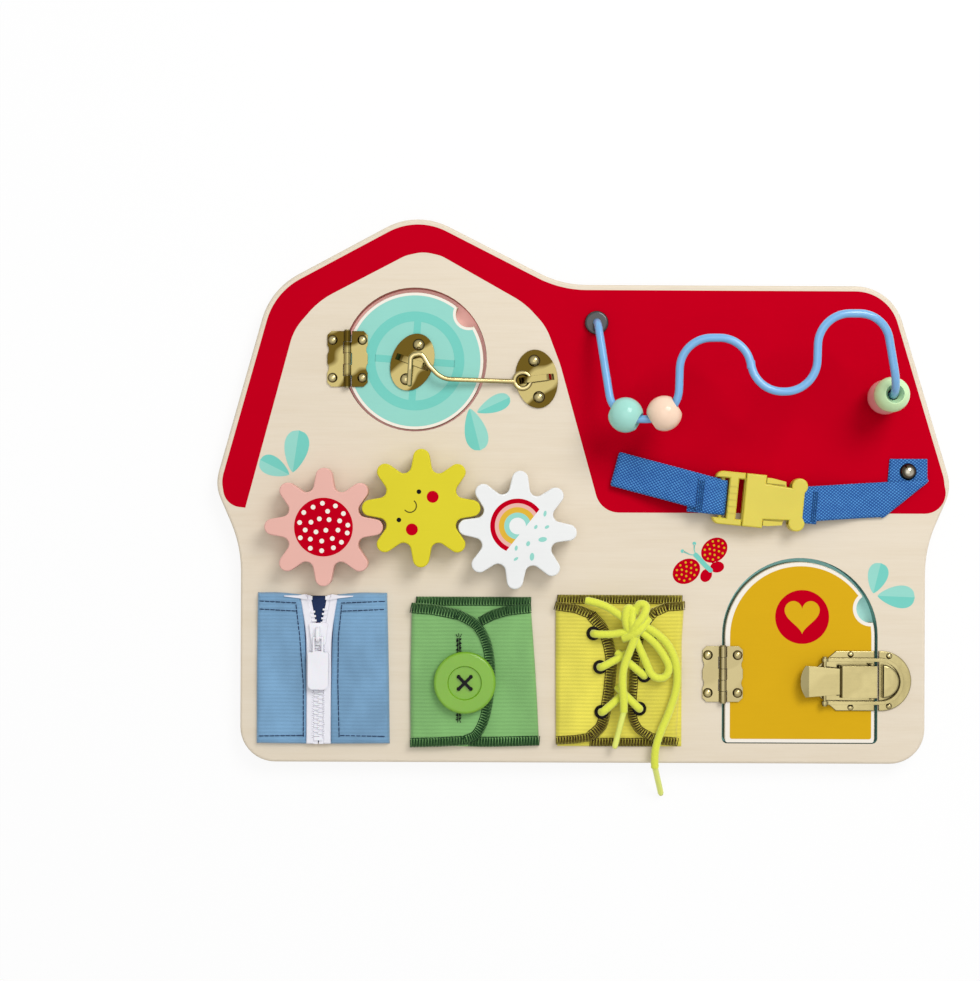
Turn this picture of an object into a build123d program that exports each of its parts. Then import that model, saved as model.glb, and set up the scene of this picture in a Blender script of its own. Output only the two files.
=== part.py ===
"""Wooden busy board in the shape of a farmhouse, lying on its back.

All lengths are millimetres. The origin is the centre of the outline on the back
face, +X points to the right eave, +Y to the gable and +Z out of the front face.
"""
from build123d import *
from math import atan2, cos, degrees, hypot, radians, sin, tan
import os

os.makedirs("parts", exist_ok=True)

# ---------------------------------------------------------------- driving sizes
# Panels
board_width = 400.0
board_height = 296.6
back_thickness = 3.0
panel_thickness = 9.0
face = back_thickness + panel_thickness
edge_rounding = 1.5

# Outline of the house
wall_half_width = 187.0
bottom_radius = 19.0
eave_y = 2.6
eave_radius = 22.0
eave_half_turn = 20.0
overhang_height = 33.0
overhang_radius = 68.0
right_shoulder = (168.2, 112.7)
right_shoulder_radius = 27.0
left_shoulder = (-171.4, 109.9)
left_shoulder_radius = 40.0
gable_foot = (-12.0, 112.9)
gable_foot_radius = 57.0
apex_x = -91.3
apex_radius = 37.0
gable_pitch = 27.7

# Clearances
gap = 0.4
floor_gap = 0.3
pin_clearance = 0.05
screw_clearance = 0.05

# Round window
window_centre = (-92.3, 71.7)
window_radius = 39.3
window_door_radius = 37.5
window_drop = 0.8
window_notch_centre = (-63.0, 96.4)
window_notch_radius = 6.9
door_rounding = 0.8

# Arched doorway
arch_centre_x = 118.5
arch_spring_y = -78.4
arch_radius = 42.5
arch_foot = 58.9
arch_foot_radius = 3.0
barn_door_gap = 1.5
barn_door_drop = 0.7
barn_notch_centre = (157.1, -63.4)
barn_notch_radius = 8.0

# Butt hinges, one for each door
hinge_length = 30.4
leaf_width = 11.0
leaf_thickness = 1.0
leaf_chamfer = 2.2
leaf_setback = 1.2
scallop_radius = 4.2
scallop_depth = 0.8
scallop_offset = 5.0
knuckle_radius = 2.0
knuckle_count = 5
knuckle_gap = 0.3
hinge_pin_radius = 1.0
hinge_pin_head = 0.6
hinge_rivet_x = 8.1
hinge_rivet_y = 10.3
window_hinge = (window_centre[0] - window_door_radius + 0.8, window_centre[1] + 0.1)
barn_hinge = (arch_centre_x - arch_radius + 0.3, -99.3)

# Rivets and screws
hinge_rivet_head = (2.7, 1.6)
plate_rivet_head = (3.3, 1.9)
latch_rivet_head = (1.7, 0.9)
rivet_shank_radius = 1.4
rivet_depth = 5.0

# Cabin hook and its two oval plates
plate_width = 23.0
plate_height = 32.0
plate_thickness = 1.0
plate_rivet_offset = 10.0
bridge_thickness = 1.0
bridge_width = 3.4
bridge_foot = 9.2
bridge_shoulder = 5.9
hook_plate_centre = (-25.8, 61.3)
hook_plate_tilt = 7.6
hook_bridge_height = 4.65
catch_plate_centre = (window_centre[0] - 1.3, window_centre[1] - 1.5)
catch_plate_tilt = -20.0
catch_bridge_height = 2.9
hook_wire_radius = 1.3
hook_ring_radius = 4.3
hook_ring_offset = 7.8
hook_ring_lift = 1.75

# Gears
gear_centres = {"left": (-140.4, -19.7), "middle": (-88.0, -9.3), "right": (-36.1, -20.9)}
lobe_count = 8
gear_root_radius = 20.6
lobe_tip_radius = 4.4
lobe_tip_centre = 27.5
lobe_base_radius = 6.0
lobe_base_centre = 18.5
valley_radius = 4.0
gear_thickness = 9.0
gear_height = 6.0
gear_rounding = 0.8
axle_radius = 4.0
axle_depth_in_gear = 6.0
spacer_radius = 8.5
washer_radius = 6.6
washer_thickness = 1.0
recess_radius = 8.0
recess_depth = 4.0
retainer_head_radius = 3.4
retainer_head_height = 1.4
retainer_shank_radius = 1.4
retainer_length = 9.0

# Bead maze
maze_wire_radius = 2.15
maze_start = (6.8, 92.0)
maze_end = (162.0, 51.5)
maze_start_lift = 10.0
maze_bends = [
    (14.2, 38.4, 27.0), (48.2, 38.4, 30.5), (48.6, 80.6, 38.0), (84.7, 80.6, 41.0),
    (84.9, 52.3, 43.5), (118.2, 52.3, 46.0), (118.8, 92.6, 49.0), (153.0, 92.6, 49.0),
]
maze_start_radius = 9.0
maze_bend_radius = 16.4
maze_end_radius = 16.0
maze_end_half_turn = 42.0
cap_radius = 6.5
cap_height = 3.0
cap_plug_depth = 6.0
bead_radius = 9.4
bead_bore_radius = 3.0
bead_mouth_radius = 4.9
bead_mouth_depth = 4.6
bead_flat_radius = 5.3
bead_set_in = 0.5
teal_bead_turn = 53.0
peach_bead_turn = 33.0

# Strap and side-release buckle
strap_width = 19.0
webbing = 1.3
strap_left_end = (16.3, 12.6)
buckle_centre = (94.6, -4.9)
buckle_turn = -5.5
buckle_half_width = 14.4
buckle_floor = 2.2
buckle_thickness = 8.6
buckle_wall = 1.7
buckle_rail = 3.5
plug_left = -24.6
ridged_bar = (-17.0, -12.0)
ridge_count = 5
socket_mouth = -8.2
socket_window = (2.7, 13.8)
socket_notch = (16.9, 8.8)
socket_lobe = (21.0, 10.0, 4.4)
socket_right = 24.0
prong_end = 15.0
prong_thickness = 2.6
prong_pad_half_width = 13.0
tongue_half_width = 3.2
strap_bar_radius = 1.2
plug_bar_x = -20.2
socket_bar_x = 19.6
strap_right_corner = (160.1, -4.0)
fold_line = ((162.2, -13.3), (187.6, 7.2))
end_patch_top = 18.4
end_patch_left = (164.4, 167.0)

# Draw latch on the arched door
latch_y = -102.8
latch_half_width = 16.35
door_edge_x = arch_centre_x + arch_radius
latch_left = door_edge_x - 36.9
latch_plate = 1.2
latch_sheet = 1.0
lever_pivot = (door_edge_x - 4.0, 4.6)
lever_left = door_edge_x - 20.9
lever_right = door_edge_x - 1.8
lever_half_width = 8.6
lever_top = 7.6
thumb_left = door_edge_x - 43.2
thumb_half_width = 7.6
thumb_top = 5.6
ear_radius = 1.7
ear_inset = 0.5
latch_pin_radius = 1.0
bail_pin = (door_edge_x - 29.5, 3.5)
bail_pin_radius = 0.9
bail_half_width = 12.6
bail_bar = 1.8
bail_height = 2.0
bail_right = door_edge_x + 13.3
strike_left = door_edge_x + 1.9
strike_radius = 9.0
strike_height = 5.0
strike_plate_right = door_edge_x + 18.2

# Cloth patches
patch_base = 0.8
patch_rounding = 0.9
zip_patch = (-177.8, -106.5, -138.2, -55.8)
zip_x = -143.9
zip_front = 4.0
channel_half_width = 6.7
v_spread = 4.0
tape_height = 2.4
tape_thickness = 0.8
tape_set_back = 0.25
tooth_reach = 2.3
tooth_lap = 0.4
tooth_length = 1.0
tooth_height = 1.6
tooth_pitch = 2.4
zip_closed_y = -80.0
zip_bottom_stop_y = -134.0
zip_top_stop_y = -58.5
stop_length = 2.0
slider_y = -78.0
slider_length = 12.0
slider_inner = (2.7, 4.1)
slider_lip = 1.0
slider_plate = 1.0
slider_floor = 0.6
wedge_half_width = 0.3
wedge_length = 1.2
bridge_half_length = 3.6
bridge_half_width = 0.9
bridge_thickness_zip = 1.0
pull_y = -80.0
pull_length = 28.0
pull_width = 11.0
pull_thickness = 1.8
pull_bar_radius = 0.8
pull_eye = 7.2
pull_arm = 0.9
button_patch = (-93.8, -26.5, -140.6, -57.8)
button_front = 4.4
button_lower = 2.6
button_flap_edge = ((-62.0, -57.8), (-47.2, -99.0), (-62.0, -140.6))
button_centre = (-64.3, -103.9)
button_radius = 16.8
button_height = 4.6
button_rounding = 1.6
button_recess = (8.7, 1.3)
button_gap = 0.6
button_hole_offset = 3.3
button_hole_radius = 1.1
buttonhole_width = 2.6
buttonhole_ends = (-123.3, -80.4)
thread_radius = 0.8
shank_radius = 0.95
lace_patch = (-15.0, 53.5, -139.6, -56.5)
lace_front = 4.0
lace_back = 1.5
lace_left_edge = ((1.3, -56.5), (16.7, -95.0), (8.0, -139.6))
lace_right_edge = ((38.0, -56.5), (24.8, -106.0), (38.0, -139.6))
eyelets = [(5.5, -77.1), (9.2, -95.4), (10.0, -119.8), (36.9, -77.5), (33.2, -99.9), (30.6, -117.9)]
eyelet_radius = 3.8
eyelet_bore = 2.0
eyelet_height = 1.1
lace_radius = 2.2
lace_bend = 2.4
tip_radius = 1.65

half_height = board_height / 2
eave_x = board_width / 2 + eave_radius * (1 / cos(radians(eave_half_turn)) - 1)
apex_y = half_height + apex_radius * (1 / cos(radians(gable_pitch)) - 1)
overhang_y = eave_y - overhang_height


def turned(x, y, centre, angle):
    """The point (x, y) of a local frame turned by angle about centre."""
    c, s = cos(radians(angle)), sin(radians(angle))
    return (centre[0] + x * c - y * s, centre[1] + x * s + y * c)


def corner_radii(points):
    """Fillet radii for a soft route, each as large as its two runs allow."""
    radii = []
    for before, here, after in zip(points, points[1:], points[2:]):
        into, out = Vector(here) - Vector(before), Vector(after) - Vector(here)
        half_turn = radians(into.get_angle(out)) / 2
        radii.append(0.45 * min(into.length, out.length) / tan(half_turn))
    return radii


# ---------------------------------------------------------------- board panels
with BuildSketch() as outline:
    with BuildLine():
        FilletPolyline(
            (-wall_half_width, -half_height), (wall_half_width, -half_height),
            (wall_half_width, overhang_y), (eave_x, eave_y), right_shoulder, gable_foot,
            (apex_x, apex_y), left_shoulder, (-eave_x, eave_y), (-wall_half_width, overhang_y),
            radius=[
                bottom_radius, bottom_radius, overhang_radius, eave_radius,
                right_shoulder_radius, gable_foot_radius, apex_radius, left_shoulder_radius,
                eave_radius, overhang_radius,
            ],
            close=True,
        )
    make_face()

# Doorway with a round head, and the door that stands in it a little low
with BuildSketch() as doorway:
    with Locations((arch_centre_x, arch_spring_y)):
        Circle(arch_radius)
    with Locations((arch_centre_x, arch_spring_y - arch_foot / 2)):
        Rectangle(2 * arch_radius, arch_foot)
    fillet(doorway.vertices().group_by(Axis.Y)[0], arch_foot_radius)

barn_door_radius = arch_radius - barn_door_gap
barn_spring_y = arch_spring_y - barn_door_drop
barn_foot = arch_foot - barn_door_drop
with BuildSketch() as barn_leaf:
    with Locations((arch_centre_x, barn_spring_y)):
        Circle(barn_door_radius)
    with Locations((arch_centre_x, barn_spring_y - barn_foot / 2 + barn_door_drop / 2)):
        Rectangle(2 * barn_door_radius, barn_foot - barn_door_drop)
    fillet(barn_leaf.vertices().group_by(Axis.Y)[0], arch_foot_radius - barn_door_drop)
    with Locations(barn_notch_centre):
        Circle(barn_notch_radius, mode=Mode.SUBTRACT)

with BuildSketch() as window_leaf:
    with Locations((window_centre[0], window_centre[1] - window_drop)):
        Circle(window_door_radius)
    with Locations(window_notch_centre):
        Circle(window_notch_radius, mode=Mode.SUBTRACT)

# Where rivets and screws enter the wood
hinge_rivet_places = [(hinge_rivet_x, hinge_rivet_y), (hinge_rivet_x, -hinge_rivet_y)]
window_board_rivets = [(window_hinge[0] - x, window_hinge[1] + y) for x, y in hinge_rivet_places]
window_leaf_rivets = [(window_hinge[0] + x, window_hinge[1] + y) for x, y in hinge_rivet_places]
barn_board_rivets = [(barn_hinge[0] - x, barn_hinge[1] + y) for x, y in hinge_rivet_places]
barn_leaf_rivets = [(barn_hinge[0] + x, barn_hinge[1] + y) for x, y in hinge_rivet_places]
plate_rivet_places = [(0, plate_rivet_offset), (0, -plate_rivet_offset)]
hook_plate_rivets = [turned(x, y, hook_plate_centre, hook_plate_tilt) for x, y in plate_rivet_places]
catch_rivets = [turned(x, y, catch_plate_centre, catch_plate_tilt) for x, y in plate_rivet_places]
latch_rivet_y = latch_half_width - 1.9
base_rivets = [(door_edge_x - 15.0, latch_y + end * latch_rivet_y) for end in (1, -1)]
strike_rivets = [(door_edge_x + 6.0, latch_y + end * (latch_rivet_y - 0.8)) for end in (1, -1)]
plug_bar = turned(plug_bar_x, 0, buckle_centre, buckle_turn)
strap_left_turn = degrees(atan2(plug_bar[1] - strap_left_end[1], plug_bar[0] - strap_left_end[0]))
strap_left_length = hypot(plug_bar[0] - strap_left_end[0], plug_bar[1] - strap_left_end[1])
left_screw = turned(8.0, 0, strap_left_end, strap_left_turn)
right_screw = (177.0, 11.4)
left_screw_head = (3.4, 1.1)
right_screw_head = (4.7, 3.4)

board_holes = window_board_rivets + barn_board_rivets + hook_plate_rivets + strike_rivets
pilot_radius = rivet_shank_radius + screw_clearance

with BuildPart() as back_panel:
    add(outline.sketch)
    extrude(amount=back_thickness)

with BuildPart() as front_panel:
    with BuildSketch(Plane.XY.offset(back_thickness)):
        add(outline.sketch)
    extrude(amount=panel_thickness)
    fillet(front_panel.faces().sort_by(Axis.Z)[-1].outer_wire().edges(), edge_rounding)
    with BuildSketch(Plane.XY.offset(face)):
        with Locations(window_centre):
            Circle(window_radius)
        add(doorway.sketch)
        with Locations(*gear_centres.values()):
            Circle(axle_radius)
        with Locations(maze_start, maze_end):
            Circle(maze_wire_radius + screw_clearance)
    extrude(amount=-panel_thickness, mode=Mode.SUBTRACT)
    with BuildSketch(Plane.XY.offset(back_thickness)):
        with Locations(*gear_centres.values()):
            Circle(recess_radius)
    extrude(amount=recess_depth, mode=Mode.SUBTRACT)
    with BuildSketch(Plane.XY.offset(face)):
        with Locations(maze_start, maze_end):
            Circle(cap_radius - cap_height / 2 + screw_clearance)
    extrude(amount=-cap_plug_depth, mode=Mode.SUBTRACT)
    with BuildSketch(Plane.XY.offset(face)):
        with Locations(*board_holes, left_screw, right_screw):
            Circle(pilot_radius)
    extrude(amount=-rivet_depth - floor_gap, mode=Mode.SUBTRACT)


# ---------------------------------------------------------------- doors
def door_leaf(sketch, holes):
    """A door cut from the panel, flush with the face, with pilot holes for its fittings."""
    with BuildPart() as leaf:
        with BuildSketch(Plane.XY.offset(back_thickness + floor_gap)):
            add(sketch)
        extrude(amount=panel_thickness - floor_gap)
        fillet(leaf.faces().sort_by(Axis.Z)[-1].outer_wire().edges(), door_rounding)
        with BuildSketch(Plane.XY.offset(face)):
            with Locations(*holes):
                Circle(pilot_radius)
        extrude(amount=-rivet_depth - floor_gap, mode=Mode.SUBTRACT)
    return leaf


window_door = door_leaf(window_leaf.sketch, window_leaf_rivets + catch_rivets)
barn_door = door_leaf(barn_leaf.sketch, barn_leaf_rivets + base_rivets)


# ---------------------------------------------------------------- hinges
hinge_axis_z = face + knuckle_radius + floor_gap
knuckle_length = (hinge_length - (knuckle_count - 1) * knuckle_gap) / knuckle_count
knuckle_step = knuckle_length + knuckle_gap


def knuckle_centres(hinge, kept):
    """Y of each knuckle whose number is in kept, counted from the lower end."""
    first = hinge[1] - hinge_length / 2 + knuckle_length / 2
    return [first + number * knuckle_step for number in kept]


def hinge_leaf(hinge, side, own):
    """One leaf with its own knuckles; side is -1 for the board's and +1 for the door's."""
    x, y = hinge
    others = [number for number in range(knuckle_count) if number not in own]
    relief = knuckle_radius + gap
    with BuildPart() as leaf:
        with BuildSketch(Plane.XY.offset(face)) as plan:
            with Locations((x + side * (leaf_width + leaf_setback) / 2, y)):
                Rectangle(leaf_width - leaf_setback, hinge_length)
            outer = plan.vertices().group_by(Axis.X)[0 if side < 0 else -1]
            chamfer(outer, leaf_chamfer)
            scallop_x = x + side * (leaf_width + scallop_radius - scallop_depth)
            with Locations((scallop_x, y - scallop_offset), (scallop_x, y + scallop_offset)):
                Circle(scallop_radius, mode=Mode.SUBTRACT)
            with Locations(*[(x + side * hinge_rivet_x, y + dy) for dy in (-hinge_rivet_y, hinge_rivet_y)]):
                Circle(pilot_radius, mode=Mode.SUBTRACT)
            with Locations(*[(x + side * relief / 2, ky) for ky in knuckle_centres(hinge, others)]):
                Rectangle(relief, knuckle_length + 2 * knuckle_gap, mode=Mode.SUBTRACT)
        extrude(amount=leaf_thickness)
        for ky in knuckle_centres(hinge, own):
            with BuildSketch(Plane.XZ.offset(-ky - knuckle_length / 2)):
                with Locations((x, hinge_axis_z)):
                    Circle(knuckle_radius)
            extrude(amount=knuckle_length)
        with BuildSketch(Plane.XZ.offset(-y - hinge_length)):
            with Locations((x, hinge_axis_z)):
                Circle(hinge_pin_radius + pin_clearance)
        extrude(amount=2 * hinge_length, mode=Mode.SUBTRACT)
    return leaf


def hinge_pin(hinge):
    """A plain pin with a thin head at each end."""
    with BuildPart() as pin:
        with BuildSketch(Plane.XZ.offset(-hinge[1] - hinge_length / 2)):
            with Locations((hinge[0], hinge_axis_z)):
                Circle(hinge_pin_radius)
        extrude(amount=hinge_length)
        for end in (-hinge_length / 2 - hinge_pin_head, hinge_length / 2):
            with BuildSketch(Plane.XZ.offset(-hinge[1] - end - hinge_pin_head)):
                with Locations((hinge[0], hinge_axis_z)):
                    Circle(hinge_pin_radius + hinge_pin_head)
            extrude(amount=hinge_pin_head)
    return pin


board_knuckles, door_knuckles = (0, 2, 4), (1, 3)
window_hinge_board_leaf = hinge_leaf(window_hinge, -1, board_knuckles)
window_hinge_door_leaf = hinge_leaf(window_hinge, 1, door_knuckles)
window_hinge_pin = hinge_pin(window_hinge)
barn_hinge_board_leaf = hinge_leaf(barn_hinge, -1, board_knuckles)
barn_hinge_door_leaf = hinge_leaf(barn_hinge, 1, door_knuckles)
barn_hinge_pin = hinge_pin(barn_hinge)


# ---------------------------------------------------------------- rivets and screws
def domed(head, shank_radius, depth, seat):
    """A dome-headed rivet or screw whose head rests at height seat above the face."""
    radius, height = head
    sphere_radius = (radius ** 2 + height ** 2) / (2 * height)
    with BuildPart() as item:
        with BuildSketch(Plane.XZ):
            with BuildLine():
                Line((0, face - depth), (shank_radius, face - depth))
                Line((shank_radius, face - depth), (shank_radius, face + seat))
                Line((shank_radius, face + seat), (radius, face + seat))
                RadiusArc((radius, face + seat), (0, face + seat + height), -sphere_radius)
                Line((0, face + seat + height), (0, face - depth))
            make_face()
        revolve(axis=Axis.Z)
    return item.part


hinge_rivet = domed(hinge_rivet_head, rivet_shank_radius, rivet_depth, leaf_thickness)
plate_rivet = domed(plate_rivet_head, rivet_shank_radius, rivet_depth, plate_thickness)
latch_rivet = domed(latch_rivet_head, rivet_shank_radius, rivet_depth, latch_plate)

with BuildPart() as board_rivets:
    with Locations(*window_board_rivets, *barn_board_rivets):
        add(hinge_rivet)
    with Locations(*hook_plate_rivets):
        add(plate_rivet)
    with Locations(*strike_rivets):
        add(latch_rivet)

with BuildPart() as window_rivets:
    with Locations(*window_leaf_rivets):
        add(hinge_rivet)
    with Locations(*catch_rivets):
        add(plate_rivet)

with BuildPart() as barn_door_rivets:
    with Locations(*barn_leaf_rivets):
        add(hinge_rivet)
    with Locations(*base_rivets):
        add(latch_rivet)

with BuildPart() as strap_screws:
    with Locations(left_screw):
        add(domed(left_screw_head, rivet_shank_radius, rivet_depth, webbing))
    with Locations(right_screw):
        add(domed(right_screw_head, rivet_shank_radius, rivet_depth, webbing))


# ---------------------------------------------------------------- cabin hook
def oval_plate(centre, tilt, bridge_height):
    """An oval plate with a strip pressed up across it, and two rivet holes."""
    place = Location((centre[0], centre[1], face), (0, 0, tilt))
    with BuildPart() as plate:
        with BuildSketch(Plane(place)):
            Ellipse(plate_width / 2, plate_height / 2)
            with Locations(*plate_rivet_places):
                Circle(pilot_radius, mode=Mode.SUBTRACT)
        extrude(amount=plate_thickness)
        across = Plane(place) * Plane.XZ
        foot_z = plate_thickness - bridge_thickness / 2
        top_z = plate_thickness + bridge_height - bridge_thickness / 2
        with BuildSketch(across):
            with BuildLine():
                FilletPolyline(
                    (-bridge_foot - bridge_thickness, foot_z), (-bridge_foot, foot_z),
                    (-bridge_shoulder, top_z), (bridge_shoulder, top_z),
                    (bridge_foot, foot_z), (bridge_foot + bridge_thickness, foot_z),
                    radius=[bridge_thickness, 2 * bridge_thickness, 2 * bridge_thickness, bridge_thickness],
                )
            trace(line_width=bridge_thickness)
        extrude(amount=bridge_width / 2, both=True)
    return plate


hook_plate = oval_plate(hook_plate_centre, hook_plate_tilt, hook_bridge_height + bridge_thickness / 2 - 0.25)
catch_plate = oval_plate(catch_plate_centre, catch_plate_tilt, catch_bridge_height + bridge_thickness / 2 + 0.2)

ring_centre = turned(-hook_ring_offset, 0, hook_plate_centre, hook_plate_tilt)
ring_z = face + plate_thickness + hook_ring_lift
hook_start = turned(-hook_ring_offset - hook_ring_radius, 0, hook_plate_centre, hook_plate_tilt)
catch_top = face + plate_thickness + catch_bridge_height + bridge_thickness / 2 + 0.2
curl_z = catch_top + gap + hook_wire_radius + 0.2
hook_route = [
    (hook_start[0], hook_start[1], ring_z), (hook_start[0] - 8.5, 59.9, ring_z + 0.7),
    (-77.5, 60.7, curl_z), (-84.5, 68.2, curl_z), (-88.3, 74.6, curl_z), (-94.2, 73.4, curl_z),
    (-94.6, 66.4, curl_z), (-95.2, 58.2, face + plate_thickness + gap + hook_wire_radius + 0.9),
]
with BuildPart() as hook:
    with BuildLine() as hook_line:
        FilletPolyline(*hook_route, radius=[6.0, 12.0, 3.2, 3.0, 3.0, 3.0])
    with BuildSketch(Plane(hook_line.line @ 0, z_dir=hook_line.line % 0)):
        Circle(hook_wire_radius)
    sweep(path=hook_line.line)
    with Locations(hook_route[-1]):
        Sphere(hook_wire_radius)
    with Locations((ring_centre[0], ring_centre[1], ring_z)):
        Torus(hook_ring_radius, hook_wire_radius)


# ---------------------------------------------------------------- gears
pitch_angle = 360 / lobe_count


def meshing_phase(here, other, other_phase):
    """Turn of a gear so that its lobes stand in the valleys of the other gear."""
    line = degrees(atan2(here[1] - other[1], here[0] - other[0]))
    return 2 * line - other_phase + 180 + pitch_angle / 2


gear_phase = {"middle": 0.0}
for side in ("left", "right"):
    gear_phase[side] = meshing_phase(gear_centres[side], gear_centres["middle"], gear_phase["middle"])

with BuildSketch() as lobe:
    with Locations((lobe_base_centre, 0)):
        Circle(lobe_base_radius)
    with Locations((lobe_tip_centre, 0)):
        Circle(lobe_tip_radius)
    make_hull()

with BuildSketch() as gear_profile:
    Circle(gear_root_radius)
    with PolarLocations(0, lobe_count):
        add(lobe.sketch)
    offset(amount=valley_radius)
    offset(amount=-valley_radius)

gear_floor = face + gear_height
axle_top = gear_floor + axle_depth_in_gear
washer_top = back_thickness + recess_depth - gap
washer_floor = washer_top - washer_thickness


def gear(side):
    """A lobed wooden gear with a blind bore in its back for the axle."""
    place = Location((*gear_centres[side], 0), (0, 0, gear_phase[side]))
    with BuildPart() as wheel:
        with BuildSketch(Plane(place).offset(gear_floor)):
            add(gear_profile.sketch)
        extrude(amount=gear_thickness)
        fillet(wheel.faces().sort_by(Axis.Z)[-1].outer_wire().edges(), gear_rounding)
        with BuildSketch(Plane.XY.offset(gear_floor)):
            with Locations(gear_centres[side]):
                Circle(axle_radius)
        extrude(amount=axle_depth_in_gear, mode=Mode.SUBTRACT)
    return wheel


def gear_axle(side):
    """A dowel glued into the gear, turning in the panel's bore."""
    with BuildPart() as axle:
        with BuildSketch(Plane.XY.offset(washer_top)):
            with Locations(gear_centres[side]):
                Circle(axle_radius - pin_clearance)
                Circle(retainer_shank_radius + screw_clearance, mode=Mode.SUBTRACT)
        extrude(amount=retainer_length)
        with BuildSketch(Plane.XY.offset(washer_top + retainer_length)):
            with Locations(gear_centres[side]):
                Circle(axle_radius - pin_clearance)
        extrude(amount=axle_top - washer_top - retainer_length)
    return axle


def gear_retainer(side):
    """The washer and screw that keep the axle in the panel, in the recess behind it."""
    with BuildPart() as retainer:
        with BuildSketch(Plane.XY.offset(washer_floor)):
            with Locations(gear_centres[side]):
                Circle(washer_radius)
                Circle(retainer_shank_radius + screw_clearance, mode=Mode.SUBTRACT)
        extrude(amount=washer_thickness)
        with BuildSketch(Plane.XY.offset(washer_floor - retainer_head_height)):
            with Locations(gear_centres[side]):
                Circle(retainer_head_radius)
        extrude(amount=retainer_head_height)
        with BuildSketch(Plane.XY.offset(washer_floor)):
            with Locations(gear_centres[side]):
                Circle(retainer_shank_radius)
        extrude(amount=washer_thickness + retainer_length - gap)
    return retainer


gears = {side: gear(side) for side in gear_centres}
axles = {side: gear_axle(side) for side in gear_centres}
retainers = {side: gear_retainer(side) for side in gear_centres}

with BuildPart() as gear_spacers:
    with BuildSketch(Plane.XY.offset(face)):
        with Locations(*gear_centres.values()):
            Circle(spacer_radius)
            Circle(axle_radius + gap, mode=Mode.SUBTRACT)
    extrude(amount=gear_height - gap)


# ---------------------------------------------------------------- bead maze
bead_half_length = (bead_radius ** 2 - bead_flat_radius ** 2) ** 0.5
pink_height = cap_height + floor_gap + bead_half_length
green_height = pink_height + 2 * bead_half_length + floor_gap
maze_end_lift = green_height + maze_end_radius * tan(radians(maze_end_half_turn))
maze_route = [(*maze_start, back_thickness + floor_gap), (*maze_start, face + maze_start_lift)]
maze_route += [(x, y, face + height) for x, y, height in maze_bends]
maze_route += [(*maze_end, face + maze_end_lift), (*maze_end, back_thickness + floor_gap)]
maze_radii = [maze_start_radius] + [maze_bend_radius] * len(maze_bends) + [maze_end_radius]
with BuildPart() as maze_wire:
    with BuildLine() as maze_line:
        FilletPolyline(*maze_route, radius=maze_radii)
    with BuildSketch(Plane(maze_line.line @ 0, z_dir=maze_line.line % 0)):
        Circle(maze_wire_radius)
    sweep(path=maze_line.line)

with BuildPart() as maze_end_caps:
    for place in (maze_start, maze_end):
        with BuildSketch(Plane.XY.offset(face)):
            with Locations(place):
                Circle(cap_radius)
        extrude(amount=cap_height)
    fillet(maze_end_caps.faces().group_by(Axis.Z)[-1].edges(), cap_height / 2)
    with BuildSketch(Plane.XY.offset(face)):
        with Locations(maze_start, maze_end):
            Circle(cap_radius - cap_height / 2)
    extrude(amount=-cap_plug_depth)
    with BuildSketch(Plane.XY.offset(face + cap_height)):
        with Locations(maze_start, maze_end):
            Circle(maze_wire_radius + screw_clearance)
    extrude(amount=-cap_height - cap_plug_depth, mode=Mode.SUBTRACT)


def bend(index):
    """Centre, normal and both radii directions of the wire's bend at one corner of its route."""
    before, here, after = (Vector(p) for p in maze_route[index - 1:index + 2])
    into, out = (here - before).normalized(), (after - here).normalized()
    normal = into.cross(out).normalized()
    half_turn = radians(into.get_angle(out)) / 2
    start = here - into * (maze_radii[index - 1] * tan(half_turn))
    centre = start + normal.cross(into) * maze_radii[index - 1]
    return centre, normal, start, into


def on_bend(index, turn):
    """Place and travel direction on a bend, turn degrees after its start."""
    centre, normal, start, into = bend(index)
    arm = (start - centre).rotate(Axis((0, 0, 0), normal), turn)
    return centre + arm, into.rotate(Axis((0, 0, 0), normal), turn), arm.normalized()


bead_straight = bead_half_length - bead_mouth_depth
with BuildPart() as bead_blank:
    with BuildSketch(Plane.XZ):
        with BuildLine():
            Polyline(
                (bead_flat_radius, -bead_half_length), (bead_mouth_radius, -bead_half_length),
                (bead_bore_radius, -bead_straight), (bead_bore_radius, bead_straight),
                (bead_mouth_radius, bead_half_length), (bead_flat_radius, bead_half_length),
            )
            ThreePointArc(
                (bead_flat_radius, bead_half_length), (bead_radius, 0), (bead_flat_radius, -bead_half_length))
        make_face()
    revolve(axis=Axis.Z)


def bead(centre, along):
    """A ball with flat ends and a flared bore, threaded on the wire."""
    with BuildPart() as ball:
        with Locations(Plane(centre, z_dir=along).location):
            add(bead_blank.part)
    return ball


def bead_on_bend(index, turn):
    """A bead on one bend, set in from the wire's line so that the wire clears both mouths."""
    place, along, outward = on_bend(index, turn)
    return bead(place - outward * bead_set_in, along)


bead_teal = bead_on_bend(2, teal_bead_turn)
bead_peach = bead_on_bend(3, peach_bead_turn)
end_lean = (Vector(*maze_bends[-1][:2]) - Vector(*maze_end)).normalized() * bead_set_in
bead_green = bead((maze_end[0] + end_lean.X, maze_end[1] + end_lean.Y, face + green_height), (0, 0, 1))
bead_pink = bead((*maze_end, face + pink_height), (0, 0, 1))


# ---------------------------------------------------------------- strap and buckle
def upright(origin, angle):
    """A vertical plane through origin whose X runs along angle and whose Y points up."""
    c, s = cos(radians(angle)), sin(radians(angle))
    return Plane(origin=(origin[0], origin[1], face), x_dir=(c, s, 0), z_dir=(s, -c, 0))


buckle_middle = buckle_floor + buckle_thickness / 2
wrap_radius = strap_bar_radius + floor_gap + webbing / 2
wrap_top, wrap_bottom = buckle_middle + wrap_radius, buckle_middle - wrap_radius
under = webbing / 2
over_screw = webbing + left_screw_head[1] + gap + webbing / 2
fold_x = 1.2


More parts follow.
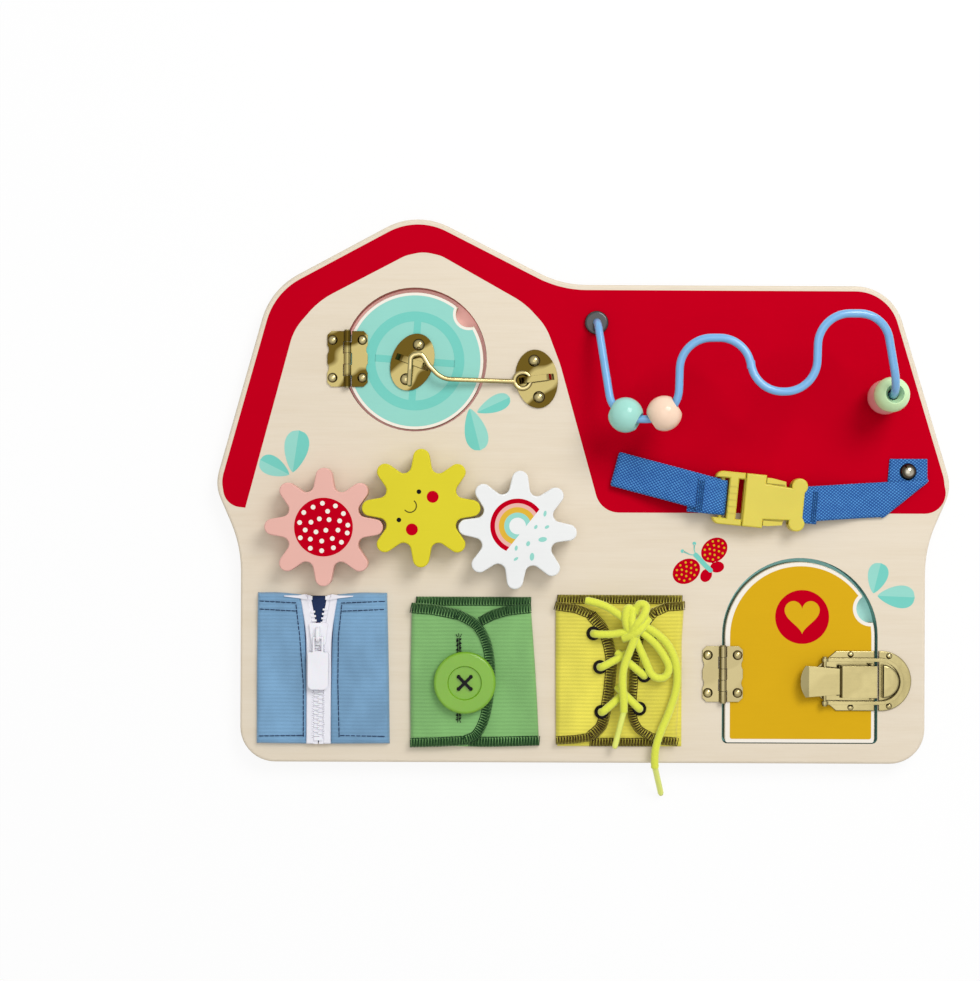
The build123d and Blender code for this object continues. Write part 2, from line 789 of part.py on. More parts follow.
def webbing_run(origin, angle, route, radii):
    """A length of webbing on edge-on route, standing in the upright plane through origin."""
    with BuildPart() as run:
        with BuildSketch(upright(origin, angle)):
            with BuildLine():
                FilletPolyline(*route, radius=radii)
            trace(line_width=webbing)
        extrude(amount=strap_width / 2, both=True)
    return run


wrap_bend = wrap_radius - 0.05
with BuildPart() as strap_left:
    add(webbing_run(strap_left_end, strap_left_turn, [
        (15.0, under), (fold_x, under), (fold_x, over_screw), (13.0, over_screw), (40.0, wrap_top),
        (strap_left_length - 5.0, wrap_top),
    ], [webbing, webbing, 15.0, 15.0]).part)
    add(webbing_run(plug_bar, buckle_turn, [
        (-7.0, wrap_top), (wrap_radius, wrap_top), (wrap_radius, wrap_bottom), (-3.0, wrap_bottom),
        (-9.0, buckle_middle), (-18.0, buckle_middle - 0.6),
    ], [wrap_bend, wrap_bend, 3.0, 3.0]).part)
    with BuildSketch(Plane.XY.offset(face)):
        with Locations(left_screw):
            Circle(pilot_radius)
    extrude(amount=webbing, mode=Mode.SUBTRACT)

socket_bar = turned(socket_bar_x, 0, buckle_centre, buckle_turn)
strap_right_turn = degrees(atan2(strap_right_corner[1] - socket_bar[1], strap_right_corner[0] - socket_bar[0]))
upper_layer = 1.5 * webbing + 0.1
fold_start, fold_end = Vector(*fold_line[0]), Vector(*fold_line[1])
fold_along = (fold_end - fold_start).normalized()
fold_across = Vector(fold_along.Y, -fold_along.X)
far = 2 * strap_width
with BuildPart() as strap_right:
    add(webbing_run(socket_bar, buckle_turn, [
        (13.0, wrap_bottom - 0.4), (8.0, wrap_bottom), (-wrap_radius, wrap_bottom), (-wrap_radius, wrap_top),
        (7.0, wrap_top),
    ], [8.0, wrap_bend, wrap_bend]).part)
    add(webbing_run(socket_bar, strap_right_turn, [
        (5.0, wrap_top), (12.0, wrap_top), (36.0, upper_layer), (78.0, upper_layer),
    ], [12.0, 15.0]).part)
    with BuildSketch(Plane.XY.offset(face)):
        with BuildLine():
            Polyline(
                fold_start - fold_along * far, fold_end + fold_along * far,
                fold_end + fold_along * far + fold_across * far,
                fold_start - fold_along * far + fold_across * far, close=True,
            )
        make_face()
    extrude(amount=buckle_floor + buckle_thickness, mode=Mode.SUBTRACT)
    with BuildSketch(Plane.XY.offset(face)):
        with BuildLine():
            Polyline(
                (end_patch_left[1], end_patch_top), (fold_line[1][0], end_patch_top), fold_line[1],
                (end_patch_left[0], fold_line[0][1] + 1.8), close=True,
            )
        make_face()
    extrude(amount=webbing)
    with BuildSketch(Plane.XY.offset(face)):
        with BuildLine():
            Polyline(
                fold_start, fold_end, fold_end - fold_across * webbing, fold_start - fold_across * webbing,
                close=True,
            )
        make_face()
    extrude(amount=upper_layer)
    with BuildSketch(Plane.XY.offset(face)):
        with Locations(right_screw):
            Circle(pilot_radius)
    extrude(amount=webbing, mode=Mode.SUBTRACT)


def buckle_plane(height):
    """A horizontal plane at a height above the face, turned with the buckle."""
    return Plane(Location((buckle_centre[0], buckle_centre[1], face + height), (0, 0, buckle_turn)))


def box_between(x0, x1, y0, y1):
    """A rectangle of the current sketch between two X and two Y values."""
    with Locations(((x0 + x1) / 2, (y0 + y1) / 2)):
        Rectangle(x1 - x0, y1 - y0)


rail_inner = buckle_half_width - buckle_rail
cavity_half_width = buckle_half_width - buckle_wall
cavity_floor = buckle_floor + buckle_wall
cavity_height = buckle_thickness - 2 * buckle_wall
inner_floor = cavity_floor + floor_gap
inner_height = cavity_height - 2 * floor_gap
neck_half_width = cavity_half_width - gap
cross_wall = (socket_mouth - gap, socket_mouth + 3.0)

with BuildPart() as buckle_plug:
    with BuildSketch(buckle_plane(buckle_floor + 0.6)) as frame_plan:
        box_between(plug_left, socket_mouth - gap, -buckle_half_width, buckle_half_width)
        fillet(frame_plan.vertices().group_by(Axis.X)[0], 4.0)
        with Locations(((plug_left + ridged_bar[0]) / 2 - 1.0, 0)):
            Rectangle(ridged_bar[0] - plug_left + 2.0, 2 * rail_inner, mode=Mode.SUBTRACT)
        with Locations(((ridged_bar[1] + cross_wall[0]) / 2, 0)):
            Rectangle(cross_wall[0] - ridged_bar[1], 2 * rail_inner, mode=Mode.SUBTRACT)
    extrude(amount=buckle_thickness - 1.2)
    chamfer(buckle_plug.faces().sort_by(Axis.Z)[-1].outer_wire().edges(), 0.6)
    with BuildSketch(buckle_plane(buckle_floor + buckle_thickness - 0.65)):
        for number in range(ridge_count):
            with Locations((sum(ridged_bar) / 2, (number - (ridge_count - 1) / 2) * 3.6)):
                Rectangle(ridged_bar[1] - ridged_bar[0] - 1.0, 1.3)
    extrude(amount=0.6)
    with BuildSketch(buckle_plane(inner_floor)):
        box_between(cross_wall[0], cross_wall[1], -neck_half_width, neck_half_width)
        box_between(cross_wall[1], prong_end - 2.0, -tongue_half_width, tongue_half_width)
    extrude(amount=inner_height)
    with BuildSketch(buckle_plane(inner_floor)):
        for end in (-1, 1):
            box_between(
                cross_wall[0] - 1.0, cross_wall[0] + 0.5,
                min(end * rail_inner, end * neck_half_width), max(end * rail_inner, end * neck_half_width))
    extrude(amount=inner_height)
    side = Plane(buckle_plane(buckle_middle).location * Location((plug_bar_x, 0, 0), (90, 0, 0)))
    with BuildSketch(side):
        Circle(strap_bar_radius)
    extrude(amount=rail_inner + 1.0, both=True)

with BuildPart() as buckle_prongs:
    for end in (-1, 1):
        with BuildSketch(buckle_plane(inner_floor)):
            with BuildLine():
                Polyline(
                    (cross_wall[1], end * (neck_half_width - prong_thickness)),
                    (cross_wall[1], end * neck_half_width),
                    (socket_window[0] + gap, end * neck_half_width),
                    (socket_window[1] - gap, end * (neck_half_width - 0.6)),
                    (prong_end - 0.9, end * (neck_half_width - prong_thickness - 0.8)),
                    (prong_end - 2.4, end * (neck_half_width - prong_thickness - 1.2)), close=True,
                )
            make_face()
        extrude(amount=inner_height)
        with BuildSketch(buckle_plane(buckle_floor + 0.9)):
            with BuildLine():
                Polyline(
                    (socket_window[0] + gap, end * (socket_notch[1] + 1.3)),
                    (socket_window[0] + gap, end * prong_pad_half_width),
                    (socket_window[0] + 3.0, end * prong_pad_half_width),
                    (socket_window[1] - gap, end * (prong_pad_half_width - 1.2)),
                    (socket_window[1] - gap, end * (socket_notch[1] + 1.3)), close=True,
                )
            make_face()
        extrude(amount=buckle_thickness - 1.8)

strap_room = wrap_radius + webbing / 2 + floor_gap
slot_half_width = strap_width / 2 + 1.5
with BuildPart() as buckle_socket:
    with BuildSketch(buckle_plane(buckle_floor)):
        box_between(socket_mouth, socket_window[0], -buckle_half_width, buckle_half_width)
        with BuildLine():
            Polyline(
                (socket_window[0], -socket_notch[1] - 0.9), (socket_notch[0], -socket_notch[1]),
                (socket_right, -socket_notch[1] - 1.0), (socket_right, socket_notch[1] + 1.0),
                (socket_notch[0], socket_notch[1]), (socket_window[0], socket_notch[1] + 0.9), close=True,
            )
        make_face()
        with Locations((socket_lobe[0], socket_lobe[1]), (socket_lobe[0], -socket_lobe[1])):
            Circle(socket_lobe[2])
    extrude(amount=buckle_thickness)
    outer_edges = buckle_socket.faces().filter_by(Axis.Z).edges().filter_by(Axis.Z, reverse=True)
    fillet(outer_edges, 0.9)
    with BuildSketch(buckle_plane(cavity_floor)):
        box_between(socket_mouth - 1.0, prong_end, -cavity_half_width, cavity_half_width)
    extrude(amount=cavity_height, mode=Mode.SUBTRACT)
    with BuildSketch(buckle_plane(buckle_middle - strap_room)):
        box_between(
            socket_bar_x - strap_room - gap, socket_lobe[0] + socket_lobe[2] + 1.0,
            -slot_half_width, slot_half_width)
    extrude(amount=2 * strap_room, mode=Mode.SUBTRACT)
    side = Plane(buckle_plane(buckle_middle).location * Location((socket_bar_x, 0, 0), (90, 0, 0)))
    with BuildSketch(side):
        Circle(strap_bar_radius)
    extrude(amount=slot_half_width + 0.5, both=True)


# ---------------------------------------------------------------- draw latch
def side_plane(y):
    """A vertical plane at y, with its Y pointing up from the face."""
    return Plane(origin=(0, y, face), x_dir=(1, 0, 0), z_dir=(0, -1, 0))


latch_plane = Plane(origin=(0, latch_y, face))
base_right = arch_centre_x + barn_door_radius - gap
strike_plate_left = door_edge_x + gap
ear_outer = lever_half_width - latch_sheet - ear_inset


def base_plan(height):
    """The latch's outline at a height, tapered to a round nose on the left."""
    with BuildSketch(latch_plane.offset(height)) as plan:
        with Locations((latch_left + 9.5, 0)):
            Circle(9.5)
        box_between(latch_left + 14.0, base_right, -latch_half_width, latch_half_width)
        make_hull()
    return plan


with BuildPart() as latch_base:
    add(base_plan(0).sketch)
    extrude(amount=latch_plate)
    fillet(latch_base.faces().sort_by(Axis.Z)[-1].outer_wire().edges(), 0.5)
    with BuildSketch(latch_plane):
        with Locations(*[(x, y - latch_y) for x, y in base_rivets]):
            Circle(pilot_radius)
    extrude(amount=latch_plate, mode=Mode.SUBTRACT)
    for end in (-1, 1):
        with BuildSketch(side_plane(latch_y + end * ear_outer - (latch_sheet if end > 0 else 0))):
            with Locations(lever_pivot):
                Circle(ear_radius)
            box_between(lever_pivot[0] - 3.6, lever_pivot[0] + 0.6, latch_plate, latch_plate + 0.4)
            make_hull()
            with Locations(lever_pivot):
                Circle(latch_pin_radius + pin_clearance, mode=Mode.SUBTRACT)
        extrude(amount=-latch_sheet)

with BuildPart() as latch_lever:
    with BuildSketch(side_plane(latch_y)):
        with BuildLine():
            FilletPolyline(
                (thumb_left, thumb_top + 0.7), (thumb_left + 4.5, thumb_top - latch_sheet / 2),
                (lever_left - 0.6, thumb_top - latch_sheet / 2), (lever_left + 0.5, lever_top - latch_sheet / 2),
                (lever_right, lever_top - latch_sheet / 2), radius=[3.0, 0.55, 0.55],
            )
        trace(line_width=latch_sheet)
    extrude(amount=lever_half_width, both=True)
    with BuildSketch(latch_plane):
        with BuildLine():
            Polyline((thumb_left + 3.0, -lever_half_width), (lever_left - 1.0, -thumb_half_width + 0.6))
            Polyline((lever_left - 1.0, -thumb_half_width + 0.6), (lever_left - 1.0, -lever_half_width))
            Polyline(
                (lever_left - 1.0, -lever_half_width), (lever_right + 1.0, -lever_half_width),
                (lever_right + 1.0, lever_half_width), (lever_left - 1.0, lever_half_width),
                (lever_left - 1.0, thumb_half_width - 0.6), (thumb_left + 3.0, lever_half_width),
            )
            ThreePointArc(
                (thumb_left + 3.0, lever_half_width), (thumb_left, 0), (thumb_left + 3.0, -lever_half_width))
        make_face()
    extrude(amount=2 * lever_top, mode=Mode.INTERSECT)
    for end in (-1, 1):
        with BuildSketch(side_plane(latch_y + end * lever_half_width - (latch_sheet if end > 0 else 0))):
            with Locations(lever_pivot):
                Circle(lever_right - lever_pivot[0])
            box_between(lever_left + 0.6, lever_pivot[0], 2.4, lever_top - latch_sheet / 2)
            box_between(lever_pivot[0] - 1, lever_right, lever_pivot[1], lever_top - latch_sheet / 2)
            with Locations(lever_pivot):
                Circle(latch_pin_radius + pin_clearance, mode=Mode.SUBTRACT)
        extrude(amount=-latch_sheet)
        with BuildSketch(side_plane(latch_y + end * (thumb_half_width - 0.8) - (latch_sheet if end > 0 else 0))):
            with Locations(bail_pin):
                Circle(bail_pin_radius + 0.9)
            box_between(bail_pin[0] - 3.0, bail_pin[0] + 3.0, thumb_top - latch_sheet, thumb_top - latch_sheet / 2)
            make_hull()
            with Locations(bail_pin):
                Circle(bail_pin_radius + pin_clearance, mode=Mode.SUBTRACT)
        extrude(amount=-latch_sheet)


def cross_pin(place, radius, half_length, head_radius, head):
    """A pin across the latch with a thin head at each end."""
    with BuildPart() as pin:
        with BuildSketch(side_plane(latch_y)):
            with Locations(place):
                Circle(radius)
        extrude(amount=half_length, both=True)
        for end in (-1, 1):
            with BuildSketch(side_plane(latch_y + end * half_length)):
                with Locations(place):
                    Circle(head_radius)
            extrude(amount=-end * head)
    return pin


latch_pivot_pin = cross_pin(
    lever_pivot, latch_pin_radius, lever_half_width + floor_gap, latch_pin_radius + 0.6, 0.7)
latch_bail_pin = cross_pin(
    bail_pin, bail_pin_radius, bail_half_width + floor_gap, bail_pin_radius + 0.5, 0.5)

bail_inner = bail_half_width - bail_bar
bail_arc_x = bail_right - bail_half_width
with BuildPart() as latch_bail:
    with BuildSketch(latch_plane.offset(bail_pin[1] - bail_height / 2)):
        with Locations((bail_arc_x, 0)):
            Circle(bail_half_width)
        box_between(bail_pin[0], bail_arc_x, -bail_half_width, bail_half_width)
        with Locations((bail_arc_x, 0)):
            Circle(bail_inner, mode=Mode.SUBTRACT)
        with Locations(((bail_pin[0] + bail_arc_x) / 2, 0)):
            Rectangle(bail_arc_x - bail_pin[0], 2 * bail_inner, mode=Mode.SUBTRACT)
    extrude(amount=bail_height)
    for end in (-1, 1):
        with BuildSketch(side_plane(latch_y + end * bail_half_width - (bail_bar if end > 0 else 0))):
            with Locations(bail_pin):
                Circle(bail_height)
        extrude(amount=-bail_bar)
    with BuildSketch(side_plane(latch_y)):
        with Locations(bail_pin):
            Circle(bail_pin_radius + pin_clearance)
    extrude(amount=2 * bail_half_width, both=True, mode=Mode.SUBTRACT)

with BuildPart() as latch_strike:
    nose_x = strike_plate_right - latch_half_width
    with BuildSketch(latch_plane):
        with BuildLine():
            Polyline(
                (nose_x, latch_half_width), (strike_plate_left, latch_half_width),
                (strike_plate_left, -latch_half_width), (nose_x, -latch_half_width),
            )
            ThreePointArc((nose_x, -latch_half_width), (strike_plate_right, 0), (nose_x, latch_half_width))
        make_face()
    extrude(amount=latch_plate)
    fillet(latch_strike.faces().sort_by(Axis.Z)[-1].outer_wire().edges(), 0.5)
    with BuildSketch(latch_plane.offset(latch_plate)):
        with Locations((strike_left, 0)):
            Circle(strike_radius)
        with Locations((strike_left - strike_radius, 0)):
            Rectangle(2 * strike_radius, 3 * strike_radius, mode=Mode.SUBTRACT)
    extrude(amount=strike_height - latch_plate)
    fillet(latch_strike.faces().sort_by(Axis.Z)[-1].edges(), 1.0)
    with BuildSketch(latch_plane):
        with Locations(*[(x, y - latch_y) for x, y in strike_rivets]):
            Circle(pilot_radius)
    extrude(amount=latch_plate, mode=Mode.SUBTRACT)


# ---------------------------------------------------------------- zip patch
zip_left, zip_right, zip_bottom, zip_top = zip_patch
zip_rise = zip_top - zip_closed_y


def spread_at(y):
    """How far the two rows of the zip have moved from its middle line at y."""
    return max(0.0, (y - zip_closed_y) * v_spread / zip_rise)


def padded_block(bounds, height):
    """A stitched cloth patch, softly rounded along its upper edge."""
    left, right, bottom, top = bounds
    with BuildPart() as block:
        with BuildSketch(Plane.XY.offset(face)):
            box_between(left, right, bottom, top)
        extrude(amount=height)
        fillet(block.faces().sort_by(Axis.Z)[-1].edges(), patch_rounding)
    return block.part


with BuildPart() as zip_sleeve:
    add(padded_block(zip_patch, zip_front))
    with BuildSketch(Plane.XY.offset(face + patch_base)):
        with BuildLine():
            Polyline(
                (zip_x - channel_half_width, zip_bottom - 1.0), (zip_x - channel_half_width, zip_closed_y),
                (zip_x - channel_half_width - v_spread, zip_top),
                (zip_x - channel_half_width - v_spread, zip_top + 1.0),
                (zip_x + channel_half_width + v_spread, zip_top + 1.0),
                (zip_x + channel_half_width + v_spread, zip_top),
                (zip_x + channel_half_width, zip_closed_y), (zip_x + channel_half_width, zip_bottom - 1.0),
                close=True,
            )
        make_face()
    extrude(amount=zip_front, mode=Mode.SUBTRACT)

with BuildPart() as zip_tapes:
    with BuildSketch(Plane.XY.offset(face + tape_height)):
        for end in (-1, 1):
            with BuildLine():
                Polyline(
                    (zip_x + end * channel_half_width, zip_bottom),
                    (zip_x + end * channel_half_width, zip_closed_y),
                    (zip_x + end * (channel_half_width + v_spread), zip_top),
                    (zip_x + end * (tooth_reach + tape_set_back + v_spread), zip_top),
                    (zip_x + end * (tooth_reach + tape_set_back), zip_closed_y),
                    (zip_x + end * (tooth_reach + tape_set_back), zip_bottom), close=True,
                )
            make_face()
    extrude(amount=tape_thickness)

tooth_floor = tape_height + (tape_thickness - tooth_height) / 2
tooth_count = int((zip_top_stop_y - stop_length - zip_bottom_stop_y - tooth_pitch) / tooth_pitch)
with BuildPart() as zip_teeth:
    with BuildSketch(Plane.XY.offset(face + tooth_floor)):
        for number in range(tooth_count):
            for end in (-1, 1):
                y = zip_bottom_stop_y + 0.8 + (number + (end + 1) / 4) * tooth_pitch
                middle = zip_x + end * ((tooth_reach - tooth_lap) / 2 + spread_at(y + tooth_length / 2))
                with Locations((middle, y)):
                    Rectangle(tooth_reach + tooth_lap, tooth_length)
    extrude(amount=tooth_height)

with BuildPart() as zip_stops:
    with BuildSketch(Plane.XY.offset(face + tooth_floor)):
        box_between(
            zip_x - tooth_reach, zip_x + tooth_reach, zip_bottom_stop_y - stop_length, zip_bottom_stop_y)
        for end in (-1, 1):
            with Locations((zip_x + end * (tooth_reach / 2 + spread_at(zip_top_stop_y)), zip_top_stop_y)):
                Rectangle(tooth_reach, stop_length)
    extrude(amount=tooth_height)

slider_top = slider_y + slider_length / 2
slider_bottom = slider_y - slider_length / 2
plate_floor = tooth_floor + tooth_height + floor_gap
lower_top = tooth_floor - floor_gap
plate_top = plate_floor + slider_plate


def slider_outline(extra):
    """Half widths of the slider at its two ends, extra mm outside its inner channel."""
    return [
        (zip_x - slider_inner[0] - extra, slider_bottom), (zip_x - slider_inner[1] - extra, slider_top),
        (zip_x + slider_inner[1] + extra, slider_top), (zip_x + slider_inner[0] + extra, slider_bottom),
    ]


with BuildPart() as zip_slider:
    for floor, height in (
        (lower_top - slider_floor, tape_height - floor_gap - lower_top + slider_floor),
        (tape_height + tape_thickness + floor_gap, plate_top - tape_height - tape_thickness - floor_gap),
    ):
        with BuildSketch(Plane.XY.offset(face + floor)) as plan:
            with BuildLine():
                Polyline(*slider_outline(slider_lip), close=True)
            make_face()
            fillet(plan.vertices(), 1.0)
        extrude(amount=height)
    with BuildSketch(Plane.XY.offset(face + lower_top)):
        with BuildLine():
            Polyline(*slider_outline(0), close=True)
        make_face()
        with Locations((zip_x, slider_top), (zip_x, slider_bottom)):
            Rectangle(2 * slider_inner[0], 2.0)
    extrude(amount=plate_floor - lower_top, mode=Mode.SUBTRACT)
    with BuildSketch(Plane.XY.offset(face + lower_top - slider_floor / 2)):
        with Locations((zip_x, slider_top - wedge_length / 2)):
            Rectangle(2 * wedge_half_width, wedge_length)
    extrude(amount=plate_floor - lower_top + slider_floor)
    pull_z = plate_top + floor_gap + pull_thickness / 2
    arch_height = pull_thickness + 2 * floor_gap + bridge_thickness_zip / 2 + 0.4
    side = Plane(origin=(zip_x, slider_y, face + plate_top), x_dir=(0, 1, 0), z_dir=(1, 0, 0))
    with BuildSketch(side):
        with BuildLine():
            FilletPolyline(
                (-bridge_half_length, -0.3), (-bridge_half_length, arch_height),
                (bridge_half_length, arch_height), (bridge_half_length, -0.3), radius=1.4)
        trace(line_width=bridge_thickness_zip)
    extrude(amount=bridge_half_width, both=True)

pull_plane = Plane(origin=(zip_x, pull_y, face + pull_z))
eye_half_width = bridge_half_width + 1.0
with BuildPart() as zip_pull:
    with BuildSketch(pull_plane.offset(-pull_thickness / 2)) as tab:
        box_between(-eye_half_width - pull_arm, eye_half_width + pull_arm, -pull_eye - 1.0, 0)
        box_between(-pull_width / 2, pull_width / 2, -pull_length, -pull_eye - 0.6)
        fillet(tab.vertices().group_by(Axis.Y)[0], 3.0)
        fillet(tab.vertices().sort_by(Axis.Y)[-6:-2], 0.5)
        box_between_eye = (-pull_eye, 0.0)
        with Locations((0, sum(box_between_eye) / 2)):
            Rectangle(2 * eye_half_width, pull_eye, mode=Mode.SUBTRACT)
    extrude(amount=pull_thickness)
    with BuildSketch(Plane(origin=(zip_x, pull_y, face + pull_z), x_dir=(0, 1, 0), z_dir=(1, 0, 0))):
        Circle(pull_thickness / 2)
    extrude(amount=eye_half_width + pull_arm, both=True)
    with BuildSketch(Plane(origin=(zip_x, pull_y, face + pull_z), x_dir=(0, 1, 0), z_dir=(1, 0, 0))):
        Circle(pull_thickness)
        Circle(pull_bar_radius, mode=Mode.SUBTRACT)
    extrude(amount=eye_half_width, both=True, mode=Mode.SUBTRACT)


# ---------------------------------------------------------------- button patch
with BuildPart() as button_sleeve:
    add(padded_block(button_patch, button_front))
    with BuildSketch(Plane.XY.offset(face + button_lower)):
        with BuildLine():
            ThreePointArc(*button_flap_edge)
            Polyline(
                button_flap_edge[2], (button_flap_edge[2][0], button_patch[2] - 1.0),
                (button_patch[1] + 1.0, button_patch[2] - 1.0), (button_patch[1] + 1.0, button_patch[3] + 1.0),
                (button_flap_edge[0][0], button_patch[3] + 1.0), button_flap_edge[0],
            )
        make_face()
    extrude(amount=button_front, mode=Mode.SUBTRACT)
    with BuildSketch(Plane.XY.offset(face + button_lower)):
        with Locations((button_centre[0] - button_hole_offset, sum(buttonhole_ends) / 2)):
            Rectangle(buttonhole_width, buttonhole_ends[1] - buttonhole_ends[0])
    extrude(amount=button_front, mode=Mode.SUBTRACT)

button_floor = face + button_front + button_gap
recess_floor = button_floor + button_height - button_recess[1]
hole_places = [
    (button_centre[0] + x, button_centre[1] + y)
    for x in (-button_hole_offset, button_hole_offset) for y in (-button_hole_offset, button_hole_offset)
]
with BuildPart() as button:
    with BuildSketch(Plane.XY.offset(button_floor)):
        with Locations(button_centre):
            Circle(button_radius)
    extrude(amount=button_height)
    fillet(button.edges(), button_rounding)
    with BuildSketch(Plane.XY.offset(recess_floor)):
        with Locations(button_centre):
            Circle(button_recess[0])
    extrude(amount=button_recess[1], taper=-25, mode=Mode.SUBTRACT)
    with BuildSketch(Plane.XY.offset(button_floor)):
        with Locations(*hole_places):
            Circle(button_hole_radius)
    extrude(amount=button_height, mode=Mode.SUBTRACT)

with BuildPart() as button_thread:
    with BuildSketch(Plane.XY.offset(face + button_lower + floor_gap)):
        with Locations((button_centre[0] - button_hole_offset, button_centre[1])):
            Circle(shank_radius)
    extrude(amount=button_floor - face - button_lower - floor_gap)
    with BuildSketch(Plane.XY.offset(button_floor + 0.2)):
        with Locations(*hole_places):
            Circle(0.85 * thread_radius)
    extrude(amount=recess_floor - button_floor - 0.2)
    with BuildSketch(Plane.XY.offset(recess_floor)):
        for turn in (45, 135):
            with Locations(Location((*button_centre, 0), (0, 0, turn))):
                SlotCenterToCenter(2 * button_hole_offset * 2 ** 0.5, 2 * thread_radius)
    extrude(amount=1.5 * thread_radius)


# ---------------------------------------------------------------- lace patch
with BuildPart() as lace_sleeve:
    add(padded_block(lace_patch, lace_front))
    with BuildSketch(Plane.XY.offset(face + lace_back)):
        with BuildLine():
            ThreePointArc(*lace_left_edge)
            Polyline(
                lace_left_edge[2], (lace_left_edge[2][0], lace_patch[2] - 1.0),
                (lace_right_edge[2][0], lace_patch[2] - 1.0), lace_right_edge[2],
            )
            ThreePointArc(*reversed(lace_right_edge))
            Polyline(
                lace_right_edge[0], (lace_right_edge[0][0], lace_patch[3] + 1.0),
                (lace_left_edge[0][0], lace_patch[3] + 1.0), lace_left_edge[0],
            )
        make_face()
    extrude(amount=lace_front, mode=Mode.SUBTRACT)

with BuildPart() as lace_eyelets:
    with BuildSketch(Plane.XY.offset(face + lace_front)):
        with Locations(*eyelets):
            Circle(eyelet_radius)
            Circle(eyelet_bore, mode=Mode.SUBTRACT)
    extrude(amount=eyelet_height)
    fillet(lace_eyelets.faces().filter_by(Axis.Z).group_by(Axis.Z)[-1].edges(), 0.5)

eyelet_top = face + lace_front + eyelet_height + 0.05
run_z = eyelet_top + 1.3 * lace_bend
tuck_z = face + lace_back + lace_radius + 0.15


def tube(points, radii, radius):
    """A round cord along a route with filleted corners."""
    with BuildPart() as cord:
        with BuildLine() as line:
            FilletPolyline(*points, radius=radii)
        with BuildSketch(Plane(line.line @ 0, z_dir=line.line % 0)):
            Circle(radius)
        sweep(path=line.line)
    return cord


def strand(number, end, lift):
    """A strand that leaves an eyelet and dives under the far flap; lift raises its middle."""
    x, y = eyelets[number]
    middle = ((x + 2 * end[0]) / 3, (y + 2 * end[1]) / 3)
    points = [
        (x, y, eyelet_top), (x, y, run_z), (*middle, run_z - 1.4 + lift), (*end, tuck_z)]
    return tube(points, [lace_bend, lace_bend], lace_radius)


knot_routes = [
    [(*eyelets[0], eyelet_top), (*eyelets[0], run_z), (23.6, -75.6, run_z + 0.4)],
    [(*eyelets[3], eyelet_top), (*eyelets[3], run_z), (28.6, -72.6, run_z + 0.4)],
    [(23.4, -80.5, 20.6), (24.2, -66.2, 20.8), (31.2, -66.0, 22.6), (30.8, -79.5, 23.0)],
    [(24.0, -69.0, 21.6), (12.0, -63.5, 20.5), (2.5, -59.8, 19.5)],
    [
        (31.0, -76.0, 21.5), (34.0, -92.0, 21.0), (38.0, -100.0, 20.6), (44.6, -98.0, 20.4),
        (45.0, -90.0, 20.6), (39.5, -80.5, 21.0), (29.5, -74.0, 21.5),
    ],
]
strands = [
    strand(2, (22.6, -109.2), 0), strand(5, (18.6, -106.2), 1.2),
    strand(1, (23.8, -88.0), 0), strand(4, (18.4, -87.6), 1.2),
]
strands += [tube(route, [lace_bend], lace_radius) for route in knot_routes[:2]]
strands += [tube(route, corner_radii(route), lace_radius) for route in knot_routes[2:]]
with BuildPart() as lace:
    add(strands[0].part.fuse(*[item.part for item in strands[1:]]))

long_end_route = [
    (32.5, -72.5, 23.0), (42.5, -77.5, 22.5), (50.2, -90.5, 21.0), (51.2, -105.0, 19.6),
    (46.6, -119.5, 19.0), (41.0, -132.0, 19.0), (38.4, -143.0, 18.6), (39.2, -149.8, 16.8),
]
short_end_route = [
    (27.5, -78.5, 24.0), (24.8, -86.0, 23.6), (21.3, -94.5, 23.3), (20.8, -104.0, 23.0),
    (21.8, -113.0, 22.6), (21.7, -119.0, 22.0),
]
lace_end_long = tube(long_end_route, corner_radii(long_end_route), lace_radius)
lace_end_short = tube(short_end_route, corner_radii(short_end_route), lace_radius)
long_tip = (long_end_route[-1], (43.8, -166.2, 3.0))
short_tip = (short_end_route[-1], (17.2, -138.3, 18.4))
with BuildPart() as lace_tips:
    for start, end in (long_tip, short_tip):
        along = Vector(end) - Vector(start)
        with BuildSketch(Plane(start, z_dir=along)):
            Circle(tip_radius)
        extrude(amount=along.length)
        with Locations(end):
            Sphere(tip_radius)

for route in (long_end_route, short_end_route):
    print([round(radius, 2) for radius in corner_radii(route)])

